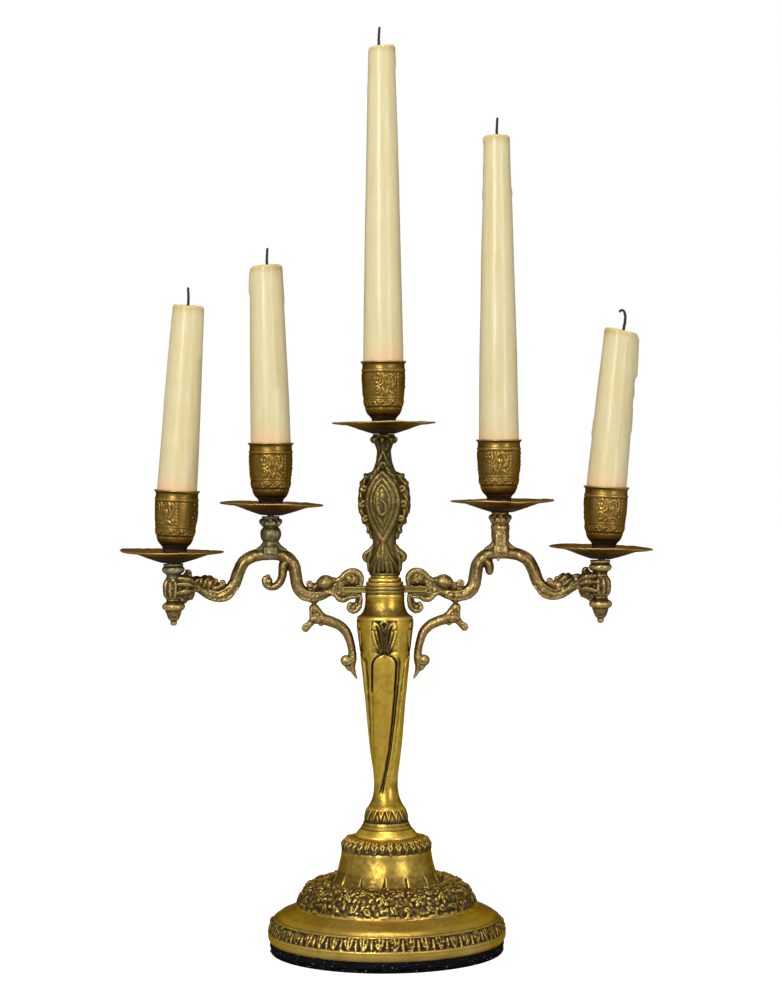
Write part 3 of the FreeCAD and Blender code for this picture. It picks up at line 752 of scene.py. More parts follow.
def carve_garland(work):
    """Band of flowers, leaves and berries round the foot of the bell."""
    rng = np.random.default_rng(23)
    low = work.along(26.2, 52.0)
    high = work.along(38.6, 32.4)
    span = high - low
    middle = (low + high) / 2
    around = work.angle / TURN
    work.relief += 0.35 * window(work.s, low, high + 2, 0.6)
    work.relief += 0.8 * np.abs(lumps(around * 110, work.s / 2.2, 3, 110)) * window(
        work.s, low + 0.6, high + 3, 0.8)
    turn = 360 / FLOWERS
    for number in range(FLOWERS):
        angle = number * turn + rng.uniform(-3, 3) - 4
        for share, offset in GARLAND_LEAVES:
            work.stamp(angle + share * turn, middle + offset * span + rng.uniform(-0.6, 0.6), 6.0,
                       rng.uniform(-70, 70) + (90 if offset > 0.2 else 0), leaf_spray)
        work.stamp(angle, middle - rng.uniform(0.5, 2.5), 6.5, rng.uniform(0, 72), rose)
        for _ in range(9):
            work.stamp(angle + rng.uniform(0.15, 0.85) * turn,
                       middle + rng.uniform(-0.40, 0.45) * span, 2.0, 0, berry)
    work.relief *= 0.85 + 0.3 * lumps(around * 200, work.s / 1.4, 9, 200)
    edge = low + 0.9 * np.abs(lumps(around * 70, 0 * work.s, 8, 70))
    work.relief *= ease(work.s, edge - 0.5, edge + 0.5)


def carve_petals(work):
    """Broad petals on the bell, whose ragged tips end above the garland."""
    around = work.angle / TURN
    place, number = cell(work.angle, PETALS, 0.12)
    tip = (work.along(38.6, 31.6) - 3.4 + 4.6 * np.abs(2 * place) ** 2.0
           + 0.8 * lumps(around * 40, 0 * work.s, 5, 40))
    swell = 0.5 * np.sqrt(np.clip(1 - (1.9 * place) ** 4, 0, 1)) * ease(work.s, tip + 10, tip)
    across = place * TURN * PETAL_RADIUS / PETALS
    seam = -0.9 * bump((np.abs(place) - 0.5) * TURN * PETAL_RADIUS / PETALS, 0.7)
    seam = seam * window(work.s, tip, tip + 6.5 + 2.5 * lumps(number * 1.3, 0 * work.s, 6), 1.2)
    for offset, reach in ((-2.2, 4.5), (0.6, 6.0), (3.0, 3.6)):
        cut = -0.6 * bump(across - offset + 0.5 * lumps(work.s / 2, number * 1.7, 7), 0.4)
        here = lumps(number * 2.1, offset + 0 * work.s, 4) > -0.2
        seam = seam + cut * window(work.s, tip + 1.5, tip + reach, 1.0) * here
    over = ease(work.s, tip - 0.25, tip + 0.55)
    bell = 0.5 + swell + seam + 0.08 * lumps(around * 60, work.s / 2.6, 4, 60)
    work.relief = np.where(over > 0, work.relief * (1 - over) + bell * over, work.relief)


def carve_leaf_ring(work):
    """Ring of curled leaves round the top of the bell."""
    low = work.along(57.6, 24.9)
    high = work.along(64.4, 21.2)
    v = (work.s - low) / (high - low)
    place, number = cell(work.angle, RIM_LEAVES)
    u = place * TURN * LEAF_RADIUS / RIM_LEAVES
    shift = 0.16 * lumps(number * 2.3, 0 * v, 6)
    half = 0.5 + 2.1 * np.clip(v - shift, 0, 1) ** 0.6
    leaf = dome(u / half, (v - shift - 0.55) / 0.72) * 0.95
    leaf -= 0.4 * bump(u, 0.38) * ease(v, 0.1, 0.5)
    leaf += 0.2 * np.cos((v * 7 - np.abs(u)) * 3.0) * (leaf > 0.2)
    leaf *= 0.8 + 0.4 * lumps(work.angle / TURN * 110, v * 4, 16, 110)
    curled = 0.5 * dome(u / 1.3, (v - shift - 0.08) / 0.14)
    ring = np.maximum(leaf, curled) * window(v, 0.0, 1.0, 0.05)
    work.relief += (ring - 0.3) * window(v, 0.0, 1.0, 0.06)


def carve_dome(work):
    carve_garland(work)
    carve_petals(work)
    carve_leaf_ring(work)


def carve_felt(work):
    ragged = lumps(work.angle / TURN * 90, work.z * 2, 14, 90) * 0.5
    ragged = ragged + lumps(work.angle / TURN * 260, work.z * 3, 15, 260) * 0.25
    work.relief += ragged * ease(work.r, 62, 65) * ease(work.z, 0.2, 1.4)


def make_base_rim():
    high = top_of("base_board")
    rim = outline(
        ((60.0, high + 2.0), (64.6, high + 1.0)), [(66.2, high + 0.05)],
        [(67.2, 7.4), (67.75, 9.0), (67.6, 11.2), (66.9, 14.0), (65.6, 17.2), (64.0, 19.2)],
        [(61.4, 21.4), (57.6, 23.2), (53.4, 25.2), (51.0, 26.6)], step=0.42)
    aged_piece("base_rim", "base_shell", turned(rim, 800, carve_rim), BRASS, 0.5,
               patina_and_shade=lambda x, y, z: 1.7 * window(z, 12.3, 19.0, 0.5))


def dome_tarnish(x, y, z):
    away = np.hypot(x, y)
    wreath = ease(away, 30.5, 32.0) * (z < 43) * ease(z, 26.0, 27.2)
    petals = window(z, 37.5, 46.0, 1.0) * (away < 31.5)
    return 1.4 * wreath + 1.7 * window(z, 57.8, 64.3, 0.6) + 0.5 * petals


def make_base_dome():
    neck = bottom_of("stem")
    dome_rows = outline(
        ((50.0, 24.0), (51.9, 26.0)),
        [(50.2, 28.6), (48.6, 31.8), (45.8, 35.6), (42.0, 38.4), (38.0, 40.0), (34.6, 40.0),
         (32.4, 38.6)],
        [(30.6, 38.8), (29.2, 41.0), (27.8, 44.6), (26.4, 49.6), (25.4, 54.4), (25.0, 58.6)],
        [(24.6, 61.6), (23.0, 63.4), (20.4, neck - 0.1)], [(16.0, neck - 0.1)], step=0.46)
    aged_piece("base_dome", "base_shell", turned(dome_rows, 680, carve_dome), BRASS, 0.5,
               patina_and_shade=dome_tarnish)


def make_cloth(node, material):
    """Disc with a ragged edge, for the felt and for the board above it."""
    low, high = box_mm(node)
    radius = high[0] + 1.2
    rows = outline(
        ((8.0, low[2]), (radius - 0.6, low[2])),
        [(radius - 0.1, (low[2] + high[2]) / 2), (radius - 0.5, high[2])], [(8.0, high[2])], step=0.5)
    piece = new_piece(node + "_cloth", node, turned(rows, 520, carve_felt), material)
    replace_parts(piece, node)


# ---- Column ----
PANELS = 4
TEETH = 17
ARCH_TOP = 169.5
STEM_TURN = 2


def groove_turn(z):
    """How far, in radians, the stem's panels have wound round it at height z."""
    heights = (88, 94, 104, 115, 130, 145, 165, 190)
    return np.radians(np.interp(z, heights, (-58, -50, -32, -20, -10, -5, 0, 0)))


def palmette(u, v):
    """Fan of tall petals under two curled tips, 16 wide and 18 high about its middle."""
    height = np.zeros(np.broadcast(u, v).shape)
    for side in (-1, 1):
        curled = ((0.9 * side, -8.0), (1.6 * side, 1.0), (3.4 * side, 6.2), (5.8 * side, 7.4),
                  (6.6 * side, 5.2), (5.2 * side, 4.4))
        outer = ((2.2 * side, -8.4), (5.0 * side, -4.0), (6.6 * side, 1.0), (6.9 * side, 3.0))
        inner = ((0.4 * side, -2.0), (0.7 * side, 4.0), (1.9 * side, 7.6), (0.6 * side, 8.4))
        middle = ((1.4 * side, -8.2), (3.4 * side, -2.5), (4.6 * side, 2.6))
        for line, width in ((curled, 0.85), (outer, 0.75), (inner, 0.7), (middle, 0.7)):
            height = np.maximum(height, stroke(u, v, line, width))
        height = np.maximum(height, dome((u - 5.6 * side) / 1.1, (v - 5.9) / 1.1))
    height = np.maximum(height, stroke(u, v, ((0, -9), (0, -2), (0, 2.2)), 0.8))
    return 0.6 * height


def panel_place(angle, z, r):
    """Millimetres across the nearest panel from its middle, and the panel's half width there."""
    place, _ = cell(angle - groove_turn(z) + math.radians(STEM_TURN), PANELS, 0.5)
    half_panel = np.interp(z, (88, 115, 150, 168), (2.2, 4.6, 6.4, 6.9))
    rounding = np.clip(1 - (ARCH_TOP - z) / 7.0, 0, 1)
    return place * TURN * r / PANELS, half_panel, half_panel * np.sqrt(1 - rounding ** 2)


def carve_stem(work):
    """Four arched panels that wind round the stem, each with grooves along its right side."""
    z = work.z
    u, half_panel, arch_half = panel_place(work.angle, z, work.r)
    panel = 0.3 * ease(arch_half - np.abs(u), 0.0, 0.8) * (z < ARCH_TOP)
    edge = np.abs(u) - arch_half
    outline_cut = -0.9 * bump(edge - 0.8, 0.6) * window(z, 148, ARCH_TOP + 1.2, 1.5)
    outline_lip = 0.3 * bump(edge - 1.9, 0.5) * window(z, 152, ARCH_TOP + 2.0, 1.0)
    right = u - half_panel
    grooves = (-1.15 * bump(right - 0.8, 0.65) - 0.95 * bump(right - 2.3, 0.5)
               - 0.6 * bump(right - 3.6, 0.4) * ease(z, 104, 112))
    grooves *= window(z, 91, 166.0, 2.5) * (0.8 + 0.3 * lumps(u / 2, z / 5, 32))
    left = -0.22 * bump(u + half_panel + 0.7, 0.35) * window(z, 110, 158, 4.0)
    work.relief += panel * window(z, 96, 190.2, 3.0) + outline_cut + outline_lip + grooves + left
    field = window(z, 170.6, 188.8, 0.5) * ease(8.3 - np.abs(u), 0, 0.8)
    bed = np.abs(lumps(work.angle / TURN * 90, z / 1.3, 31, 90))
    work.relief -= field * (0.22 + 0.2 * bed)
    for number in range(PANELS):
        work.stamp(number * 360 / PANELS - STEM_TURN, work.along(179.8), 11, 0, palmette, np.add)
    work.relief += 0.18 * bump(z - 189.4, 0.5)

    v = (z - 73.6) / 7.0
    place, _ = cell(work.angle, TEETH, 0.2)
    u = place * TURN * 12.2 / TEETH
    edge = np.abs(u) - 2.15 * np.clip(v, 0, 1)
    lines = -0.55 * bump(edge - 0.1, 0.42) - 0.25 * (edge > 0.4) + 0.12 * bump(edge + 0.8, 0.4)
    work.relief += lines * window(v, 0.0, 1.0, 0.03) + 0.12 * bump(v - 1.08, 0.06)
    work.relief -= 0.22 * bump(z - 70.0, 0.4)
    work.relief += 0.09 * lumps(work.angle / TURN * 22, z / 6, 4, 22)


def stem_tarnish(x, y, z):
    """Dark grooves, arch tops, palmettes and zig-zag ring."""
    angle = np.arctan2(x, -y)
    u, half_panel, arch_half = panel_place(angle, z, np.hypot(x, y))
    right = u - half_panel
    grooves = window(right, 0.1, 3.0, 0.4) * window(z, 92, 167, 3.0)
    arch = bump(np.abs(u) - arch_half - 0.8, 0.9) * window(z, 148, ARCH_TOP + 1.5, 2.0)
    facing = np.cos(PANELS * (angle + math.radians(STEM_TURN)))
    palmettes = ease(facing, 0.0, 0.7) * window(z, 168.5, 189.0, 1.2)
    return 2.5 * palmettes + 1.6 * window(z, 73.4, 80.9, 0.5) + 2.4 * np.maximum(grooves, arch)


def make_stem():
    low = bottom_of("stem")
    rows = outline(
        ((6.0, low), (17.5, low)), [(18.0, low + 0.9), (17.5, low + 1.9)],
        [(15.0, 69.6), (13.2, 72.4), (12.5, 76.6), (11.4, 80.2), (9.2, 83.8), (7.8, 87.2), (6.85, 93.4),
         (7.1, 100.9), (8.3, 111.4), (9.4, 121.6), (10.3, 132.0), (11.2, 142.2), (12.0, 149.2),
         (12.6, 156.0), (13.4, 162.8), (14.0, 170.0), (15.2, 180.0), (15.9, 186.4), (15.7, 190.4)],
        [(13.6, 191.8), (12.0, 194.4), (11.2, 198.4), (11.1, 201.4)], [(11.25, 202.2), (11.1, 203.4)],
        [(5.0, 203.5)], step=0.62)
    aged_piece("stem_relief", "stem", turned(rows, 420, carve_stem), STEM_BRASS, 0.5,
               patina_and_shade=stem_tarnish)


def make_step_collar():
    low = bottom_of("step_collar")
    high = top_of("step_collar")
    rows = outline(
        ((2.8, low), (10.3, low)), [(10.75, low + 0.8), (10.6, low + 1.9)], [(9.3, low + 2.3)],
        [(9.5, low + 3.2), (9.2, low + 4.3)], [(8.0, low + 4.7)], [(7.9, high)], [(2.8, high)],
        step=0.3)

    def carve(work):
        work.relief += 0.09 * lumps(work.angle / TURN * 40, work.z, 21, 40)
        work.relief -= 0.25 * bump(work.z - low - 1.0, 0.2)

    aged_piece("step_collar_rings", "step_collar", turned(rows, 260, carve), STEM_BRASS, 0.25)


BALUSTER_TURN = -9.0        # the shield looks a little to the left
BALUSTER_DEPTH = 0.8
CORE = ((7.6, 214.0), (7.9, 220.0), (8.2, 226.0), (6.8, 231.0), (7.2, 238.0), (9.8, 246.0),
        (11.6, 255.0), (11.2, 262.0), (9.4, 268.0), (6.8, 273.0), (4.9, 278.0), (4.1, 284.0),
        (4.2, 289.0), (5.2, 292.0), (5.6, 293.6))


def on_core(x, z, side, lift=0.0):
    """Point on the front (-1) or back (1) of the baluster's core."""
    half = np.interp(z, [point[1] for point in CORE], [point[0] for point in CORE])
    depth = half * BALUSTER_DEPTH * math.sqrt(max(0.0, 1 - (x / half) ** 2))
    return (x, side * (depth + lift), z)


def core_line(line, side, lift, spread=1):
    """A line of (x, z) points laid on the core; spread scales and mirrors it sideways."""
    return [on_core(x * spread, z, side, lift) for x, z in line]


def shield_line(half_width, low, high, side, lift, count=15):
    """Closed almond on the core, pointed below and rounder above."""
    share = np.linspace(0, 1, count)
    width = half_width * np.sin(math.pi * share ** 1.25) ** 0.8
    heights = low + (high - low) * share
    left = [on_core(-w, z, side, lift) for w, z in zip(width, heights)]
    right = [on_core(w, z, side, lift) for w, z in zip(width, heights)]
    return left, right


def baluster_face(side):
    """Relief on the front (-1) or back (1): nested almonds round a comma, ribs and twigs."""
    parts = []
    for half_width, low, high, radius, lift in ((8.4, 233.2, 272.4, 1.9, -0.7),
                                                (6.2, 238.0, 269.0, 1.5, -0.7),
                                                (4.2, 242.0, 265.6, 1.2, -0.5)):
        for line in shield_line(half_width, low, high, side, lift):
            parts.append(sweep(line, radius, sides=12))
    comma = ((-1.6, 262.4), (-2.5, 258.0), (-2.4, 252.4), (-0.8, 248.8), (1.2, 248.8), (2.2, 252.2),
             (1.4, 255.6), (-0.2, 256.6))
    keel = ((0, 234.6), (0, 231.0), (0, 226.0), (0, 217.0))
    parts.append(sweep(core_line(comma, side, -0.2), (0.5, 1.1, 1.35, 1.35, 1.3, 1.2, 1.0, 0.6),
                       sides=12))
    parts.append(sweep(core_line(keel, side, 0.2), (1.4, 1.3, 1.1, 0.9), sides=12))
    rib = ((0.5, 231.6), (1.2, 225.5), (2.2, 219.6), (2.65, 214.6))
    for spread in (-3, -2, -1, 1, 2, 3):
        parts.append(sweep(core_line(rib, side, 0.1, spread), (0.7, 1.0, 1.25, 1.1), sides=12))
    twig = ((1.2, 277.5), (2.9, 274.0), (5.4, 270.6), (7.9, 266.0))
    spray = ((0.6, 283.6), (1.8, 279.8), (3.6, 276.2))
    for spread in (-1, 1):
        parts.append(sweep(core_line(twig, side, 0.2, spread), (0.9, 1.4, 1.5, 0.8), sides=12,
                           lobes=(3, 0.2, 1.5)))
        parts.append(sweep(core_line(spray, side, 0.1, spread), (0.7, 1.1, 0.6), sides=12))
    for step in range(6):
        x = 1.7 * math.sin(2.1 * step)
        parts.append(blob(on_core(x, 278.0 + 1.9 * step, side, 0.15), (1.1, 0.8, 1.1)))
    return parts


def baluster_wing(edge):
    """Serrated scroll down one side (edge is -1 at the left and 1 at the right), curled at its foot."""
    spine = ((6.4, 272.4), (9.4, 269.8), (11.9, 265.4), (12.7, 259.4), (12.9, 253.0), (11.0, 246.6),
             (8.8, 241.0), (7.4, 235.4))
    parts = [sweep([(x * edge, z) for x, z in spine], (1.0, 1.7, 2.1, 2.2, 2.2, 1.9, 1.5, 1.1), depth=1.7,
                   lobes=(4, 0.12, 2.4))]
    for x, z, size, tip in ((9.6, 270.0, 2.2, -36), (12.2, 265.0, 2.4, -62), (13.2, 258.6, 2.4, -84),
                            (13.0, 251.6, 2.5, -104), (11.2, 245.4, 2.2, -112), (9.0, 239.6, 1.8, -110)):
        parts.append(blob((x * edge, 0.0, z), (size * 1.25, 3.0, size * 0.72), turn=tip * edge))
    for x, z, size in ((10.8, 263.6, 2.0), (11.6, 255.0, 2.2), (10.2, 246.6, 1.8)):
        for side in (-1, 1):
            swirl = [(x * edge + u, side * 3.3, z + w) for u, w in curl((0, 0), size, 0.8, 200, 0.9)]
            parts.append(sweep(swirl, 1.1, sides=12))
    for side in (-1, 0, 1):
        lobe = ((6.4, 230.6), (8.2, 227.8), (10.2, 226.3), (11.3, 224.8), (10.9, 222.8), (9.6, 221.6))
        parts.append(sweep([(x * edge, 1.8 * side, z) for x, z in lobe], (1.0, 1.4, 1.5, 1.5, 1.3, 0.9),
                           sides=14))
        fold = ((5.8, 230.0), (7.4, 226.4), (8.6, 223.4), (9.0, 220.4), (8.8, 216.4))
        parts.append(sweep([(x * edge, 2.2 * side, z) for x, z in fold], (0.9, 1.3, 1.3, 1.0, 0.8),
                           sides=12))
    return parts


def baluster_capital():
    """Ring of drooping leaves under the pan, and the flat seats at both ends."""
    parts = []
    for number in range(8):
        leaf = sweep(((3.2, 285.4), (4.0, 288.6), (5.4, 291.2), (6.6, 291.9), (6.9, 290.6), (6.3, 289.6)),
                     (1.1, 1.4, 1.5, 1.3, 1.1, 0.8), depth=1.1, sides=12)
        parts += swung([leaf], number * 45)
    for low, high, radius in ((292.2, 294.2, 6.4), (213.7, 215.4, 8.4)):
        disc = outline(
            ((1, low), (radius - 0.3, low)), [(radius, (low + high) / 2), (radius - 0.3, high)],
            [(1, high)], step=0.4)
        parts.append(turned(disc, 80))
    return parts


def make_upper_baluster():
    verts, faces = turned(outline(CORE, step=0.7), 90)
    parts = [(verts * (1.0, BALUSTER_DEPTH, 1.0), faces)]
    parts += baluster_face(-1) + baluster_face(1)
    parts += baluster_wing(-1) + baluster_wing(1)
    parts += baluster_capital()
    parts = swung(parts, BALUSTER_TURN)

    def chased(points):
        x, y, z = points.T
        return 0.06 * lumps(x / 1.1, z / 1.1 + (y > 0) * 13, 12)

    def darkening(x, y, z):
        return 0.75 + 0.7 * ease(z, 262, 278) + 0.4 * (1 - ease(z, 214, 232))

    cast("upper_baluster_casting", "upper_baluster", parts, OLIVE_BRASS, grain=0.3, soften=7,
         carve=chased, patina_and_shade=darkening)


# ---- Lights: pans, cups, candles and wicks ----
CUP_HEIGHT = 40.5
PAN_DEPTH = 7.2
CANDLE_SUNK = 21        # how far a candle goes down into its cup
CANDLE_FOOT = 11.42     # its radius at the cup's lip

# Lean of pan and cup towards +X in degrees, how the cup's ornament is turned, and the
# candle's length above the lip, its top radius and the height of its worn top's high side.
LIGHTS = {
    "left_outer": {"pan_lean": 1.4, "cup_lean": 3.0, "turn": -34, "length": 105.6, "top": 8.9,
                   "high_side": (200, 0.6), "wick": ((-0.2, 0), (-0.3, 4.0), (-0.8, 9.4))},
    "left_inner": {"pan_lean": 2.0, "cup_lean": 0.3, "turn": 6, "length": 101.2, "top": 9.2,
                   "high_side": (40, 1.6), "wick": ((0.6, 0), (0.7, 4.0), (1.1, 9.0))},
    "centre": {"pan_lean": 0.0, "cup_lean": 0.0, "turn": 4, "length": 179.5, "top": 7.5,
               "high_side": (95, 1.5), "wick": ((-1.5, 0), (-1.5, 4.0), (-1.1, 9.8))},
    "right_inner": {"pan_lean": 0.0, "cup_lean": 0.3, "turn": -8, "length": 172.8, "top": 7.4,
                    "high_side": (80, 0.5), "wick": ((0.0, 0), (0.1, 4.0), (0.4, 9.6))},
    "right_outer": {"pan_lean": 2.2, "cup_lean": 3.0, "turn": 5, "length": 89.9, "top": 9.6,
                    "high_side": (-85, 2.0),
                    "wick": ((1.2, 0), (1.6, 4.6), (1.3, 8.4), (0.3, 10.4), (-0.9, 10.9), (-1.9, 10.0))},
}
# Wax that ran down a candle: side of the candle, its start and end below the top, its
# width and how proud it stands.
DRIPS = {
    "left_outer": ((70, 0, 30, 2.2, 0.5), (-75, 8, 60, 1.8, 0.35)),
    "left_inner": ((-85, 3, 16, 3.2, 0.75), (100, 0, 22, 2.0, 0.4), (20, 4, 70, 1.6, 0.3)),
    "centre": ((98, 0, 12, 3.0, 0.5), (-60, 20, 150, 2.0, 0.25), (75, 6, 60, 1.6, 0.2)),
    "right_inner": ((-70, 0, 4.0, 2.6, 1.25), (92, 30, 34, 1.2, 0.5), (-88, 30, 36, 1.2, 0.4)),
    "right_outer": ((88, 2.5, 27, 3.4, 1.45), (92, 32, 38, 1.6, 0.7), (-92, 52, 62, 1.7, 0.6),
                    (84, 44, 58, 1.3, 0.5), (15, 6, 66, 1.5, 0.35)),
}


def axis_of(lean):
    """Direction of an upright piece that leans towards +X."""
    return np.array([math.sin(math.radians(lean)), 0, math.cos(math.radians(lean))])


def foot_of(node, lean, height):
    """Foot of a leaning turned piece, from the middle of its box."""
    return middle_of(node) - axis_of(lean) * height / 2


def leaned(part, lean, foot):
    """A part built upright on the origin, made to lean about its foot and moved there."""
    verts, faces = part
    place = np.array(Matrix.Translation(foot) @ Matrix.Rotation(math.radians(lean), 4, "Y"))
    return verts @ place[:3, :3].T + place[:3, 3], faces


def carve_pan(work):
    """Hand-beaten sheet: the narrow rim waves, and faint rings show on the cone."""
    outward = ease(work.r, 17, 29)
    wave = lumps(work.angle / TURN * 9, 0 * work.r, 41, 9) * 0.45
    nibble = lumps(work.angle / TURN * 64, 0 * work.r, 42, 64) * 0.16
    side = np.where(work.s < work.along(6.8, 29.5), -1.0, 1.0)
    work.relief += side * outward * (wave + nibble)
    work.relief += 0.10 * bump(work.r - 22.0, 0.5) * side + 0.08 * bump(work.r - 14.0, 0.5)


def make_pan(name):
    lean = LIGHTS[name]["pan_lean"]
    node = f"{name}_pan"
    rows = outline(
        ((0.05, 0.02), (6.2, 0.02)), [(11.0, 1.5), (16.5, 3.4), (21.0, 5.0)],
        [(25.0, 5.6), (29.2, 6.3)], [(29.7, 6.75), (29.2, 7.15)],
        [(25.0, 6.5), (20.8, 5.8), (16.0, 4.2), (11.0, 2.4), (7.2, 0.9)], [(0.05, 0.9)],
        step=0.6, corner=0.2)
    pan = leaned(swung([turned(rows, 240, carve_pan)], LIGHTS[name]["turn"] * 3)[0], lean,
                 foot_of(node, lean, PAN_DEPTH))
    centre = middle_of(node)

    # Painted shade: darker towards the middle, where the pan's underside lies in shade, and darker at the
    # rim's edge.
    def darkening(x, y, z):
        away = np.hypot(x - centre[0], y)
        return 2.3 - 2.1 * ease(away, 8, 22) + 0.9 * ease(away, 27.6, 29.4)

    aged_piece(f"{name}_drip_pan", node, pan, PAN_BRASS, 0.5, patina_and_shade=darkening)


def cup_ornament(u, v):
    """Flower on a stem between two scrolls, in relief, about 15 wide and 13 high."""
    height = dome((u - 2.0) / 1.25, (v - 1.0) / 1.6) * 1.15
    for points, width in (
            (((2.0, -1.0), (1.4, -3.6), (0.2, -6.0)), 0.6),
            (((4.6, 5.0), (3.0, 5.6), (0.9, 5.0), (-0.1, 3.2), (0.6, 1.0)), 0.75),
            (((3.6, 4.2), (4.6, 2.4), (4.6, -0.4), (3.6, -2.6)), 0.65),
            (((5.8, 6.2), (6.4, 3.2), (5.8, 0.2), (4.8, -2.2)), 0.6),
            (((-1.2, 6.2), (-1.0, 3.0), (-1.9, 0.0), (-3.4, -0.6)), 0.65),
            (((-5.8, 5.4), (-4.4, 6.2), (-2.9, 4.8), (-2.9, 2.0), (-3.8, 0.6), (-5.2, 1.0)), 0.7),
            (((-6.4, -1.6), (-4.4, -1.2), (-2.9, -2.8), (-3.6, -4.8), (-5.4, -5.2)), 0.75),
            (((-1.6, -2.2), (-0.9, -4.2), (-1.9, -6.0)), 0.65),
            (((2.6, -4.0), (4.2, -4.6), (5.8, -6.2)), 0.6)):
        height = np.maximum(height, stroke(u, v, points, width))
    for x, y, size in ((-4.4, 3.2, 0.8), (-4.6, -3.2, 0.8), (3.4, 6.2, 0.7), (-0.2, -4.6, 0.7),
                       (6.4, -3.8, 0.7), (-6.6, 3.6, 0.6)):
        height = np.maximum(height, dome((u - x) / size, (v - y) / size))
    for step in range(7):
        height = np.maximum(height, 0.8 * dome((u - 8.4) / 0.55, (v + 5.6 - 1.9 * step) / 0.8))
    return 0.45 * height


def border_scroll(u, v):
    """One link of the running scroll at the foot of the cup's wall."""
    wave = stroke(u, v, ((-3.2, -1.0), (-1.9, 0.9), (-0.4, 1.1), (0.4, -0.2), (-0.5, -0.9)), 0.55)
    leaf = stroke(u, v, ((0.4, -1.2), (1.6, -0.6), (2.6, 1.0)), 0.6)
    return 0.42 * np.maximum(np.maximum(wave, leaf), dome((u - 1.5) / 0.6, (v - 1.2) / 0.6))


def carve_cup(turn):
    def carve(work):
        z = work.z
        outer = work.s < work.along(CUP_HEIGHT, 12.5)
        around = work.angle / TURN
        for number in range(3):
            work.stamp(turn + 120 * number, work.along(27.0, 12.2), 11.0, 0, cup_ornament)
        for number in range(12):
            work.stamp(turn + 30 * number, work.along(16.3, 11.2), 4.4, 0, border_scroll)
        work.relief *= 0.62 + 0.38 * lumps(around * 30, z / 3, 54, 30)
        panel = window(z, 19.9, 34.0, 0.4)
        rough = np.abs(lumps(around * 80, z / 1.1, 52, 80))
        place, _ = cell(work.angle - math.radians(turn), 3, 0.5)
        worked = window(np.abs(place) * 120, -1, 41, 3)
        work.relief -= 0.14 * rough * panel * worked
        rings = (0.22 * bump(z - 35.2, 0.6) - 0.20 * bump(z - 34.2, 0.35) + 0.14 * bump(z - 19.6, 0.3)
                 - 0.18 * bump(z - 19.0, 0.25) + 0.14 * bump(z - 18.4, 0.3) - 0.22 * bump(z - 14.2, 0.4))
        work.relief = (work.relief + rings) * outer
        work.relief += 0.08 * lumps(around * 16, z / 4, 53, 16) * outer
    return carve


def make_cup(name):
    lean = LIGHTS[name]["cup_lean"]
    node = f"{name}_cup"
    rows = outline(
        ((2.8, 0.02), (6.6, 0.02)),
        [(7.3, 0.8), (7.2, 2.6), (6.9, 5.4), (7.1, 7.6), (7.9, 8.8), (9.2, 10.2), (10.2, 12.2),
         (10.9, 14.6), (11.35, 17.2), (11.75, 21.0), (12.1, 25.2), (12.3, 30.0), (12.35, 35.2)],
        [(12.1, 36.3), (12.0, 37.6), (12.15, 39.0), (12.7, 39.6)], [(13.1, 40.0), (12.9, CUP_HEIGHT)],
        [(11.65, CUP_HEIGHT - 0.1)], [(11.52, 24.0)], [(9.62, 15.42)], [(2.8, 15.42)], step=0.42)
    foot = foot_of(node, lean, CUP_HEIGHT)
    cup = leaned(turned(rows, 320, carve_cup(LIGHTS[name]["turn"])), lean, foot)

    def darkening(x, y, z):
        up = z - foot[2]
        foot_and_wall = 1.9 * (1 - ease(up, 7.6, 12.5)) + 0.35 * window(up, 13, 34, 1.5)
        return foot_and_wall + 0.5 * bump(up - 34.0, 0.6) + 1.3 * ease(up, 38.7, 39.7)

    aged_piece(f"{name}_candle_cup", node, cup, CUP_BRASS, 0.75, patina_and_shade=darkening)


def carve_candle(name):
    light = LIGHTS[name]
    length = light["length"]

    def carve(work):
        z = work.z
        seed = len(name) + int(length)
        around = work.angle / TURN
        wall = (z < length - 0.9) * (z > -1)
        work.relief += 0.13 * lumps(around * 5, z / 26, seed, 5) * wall
        work.relief += 0.05 * lumps(around * 14, z / 7, seed + 1, 14) * wall
        for side, start, end, width, proud in DRIPS[name]:
            away = np.mod(work.angle - math.radians(side) + math.pi, TURN) - math.pi
            below = length - z
            run = window(below, start, end, 1.4) * (0.65 + 0.35 * ease(below, start, end))
            bead = 0.5 * bump(below - end + 0.6 * width, width)
            work.relief += proud * bump(away * work.r, width) * np.maximum(run, bead)
    return carve


def candle_shape(length, top):
    """A candle from its foot in the cup to its worn top, upright on the cup's lip."""
    wall = [(CANDLE_FOOT + (top - CANDLE_FOOT) * t ** 1.25, t * (length - 1.6))
            for t in np.linspace(0, 1, 7)]
    rim = (wall[-1], (top - 0.25, length - 0.9), (top - 1.0, length - 0.15), (top - 1.9, length - 0.05),
           (top - 3.2, length - 0.7), (2.2, length - 1.5), (1.1, length - 1.3))
    return rounded((((0.05, -CANDLE_SUNK), (9.0, -CANDLE_SUNK)),
                    ((9.0, -CANDLE_SUNK), (CANDLE_FOOT, -0.2)), wall, rim,
                    ((1.1, length - 1.3), (0.05, length - 1.2))), 0.8, 0.12)


def wear_top(verts, light):
    """Slant and dent a candle's top."""
    side, rise = light["high_side"]
    length = light["length"]
    facing = verts[:, 0] * math.sin(math.radians(side)) - verts[:, 1] * math.cos(math.radians(side))
    near_top = ease(verts[:, 2], length - 9, length - 0.8)
    verts[:, 2] += near_top * rise * (0.5 * facing / light["top"] - 0.35)
    verts[:, 2] += near_top * 0.35 * lumps(verts[:, 0] / 3.0, verts[:, 1] / 3.0, int(length))


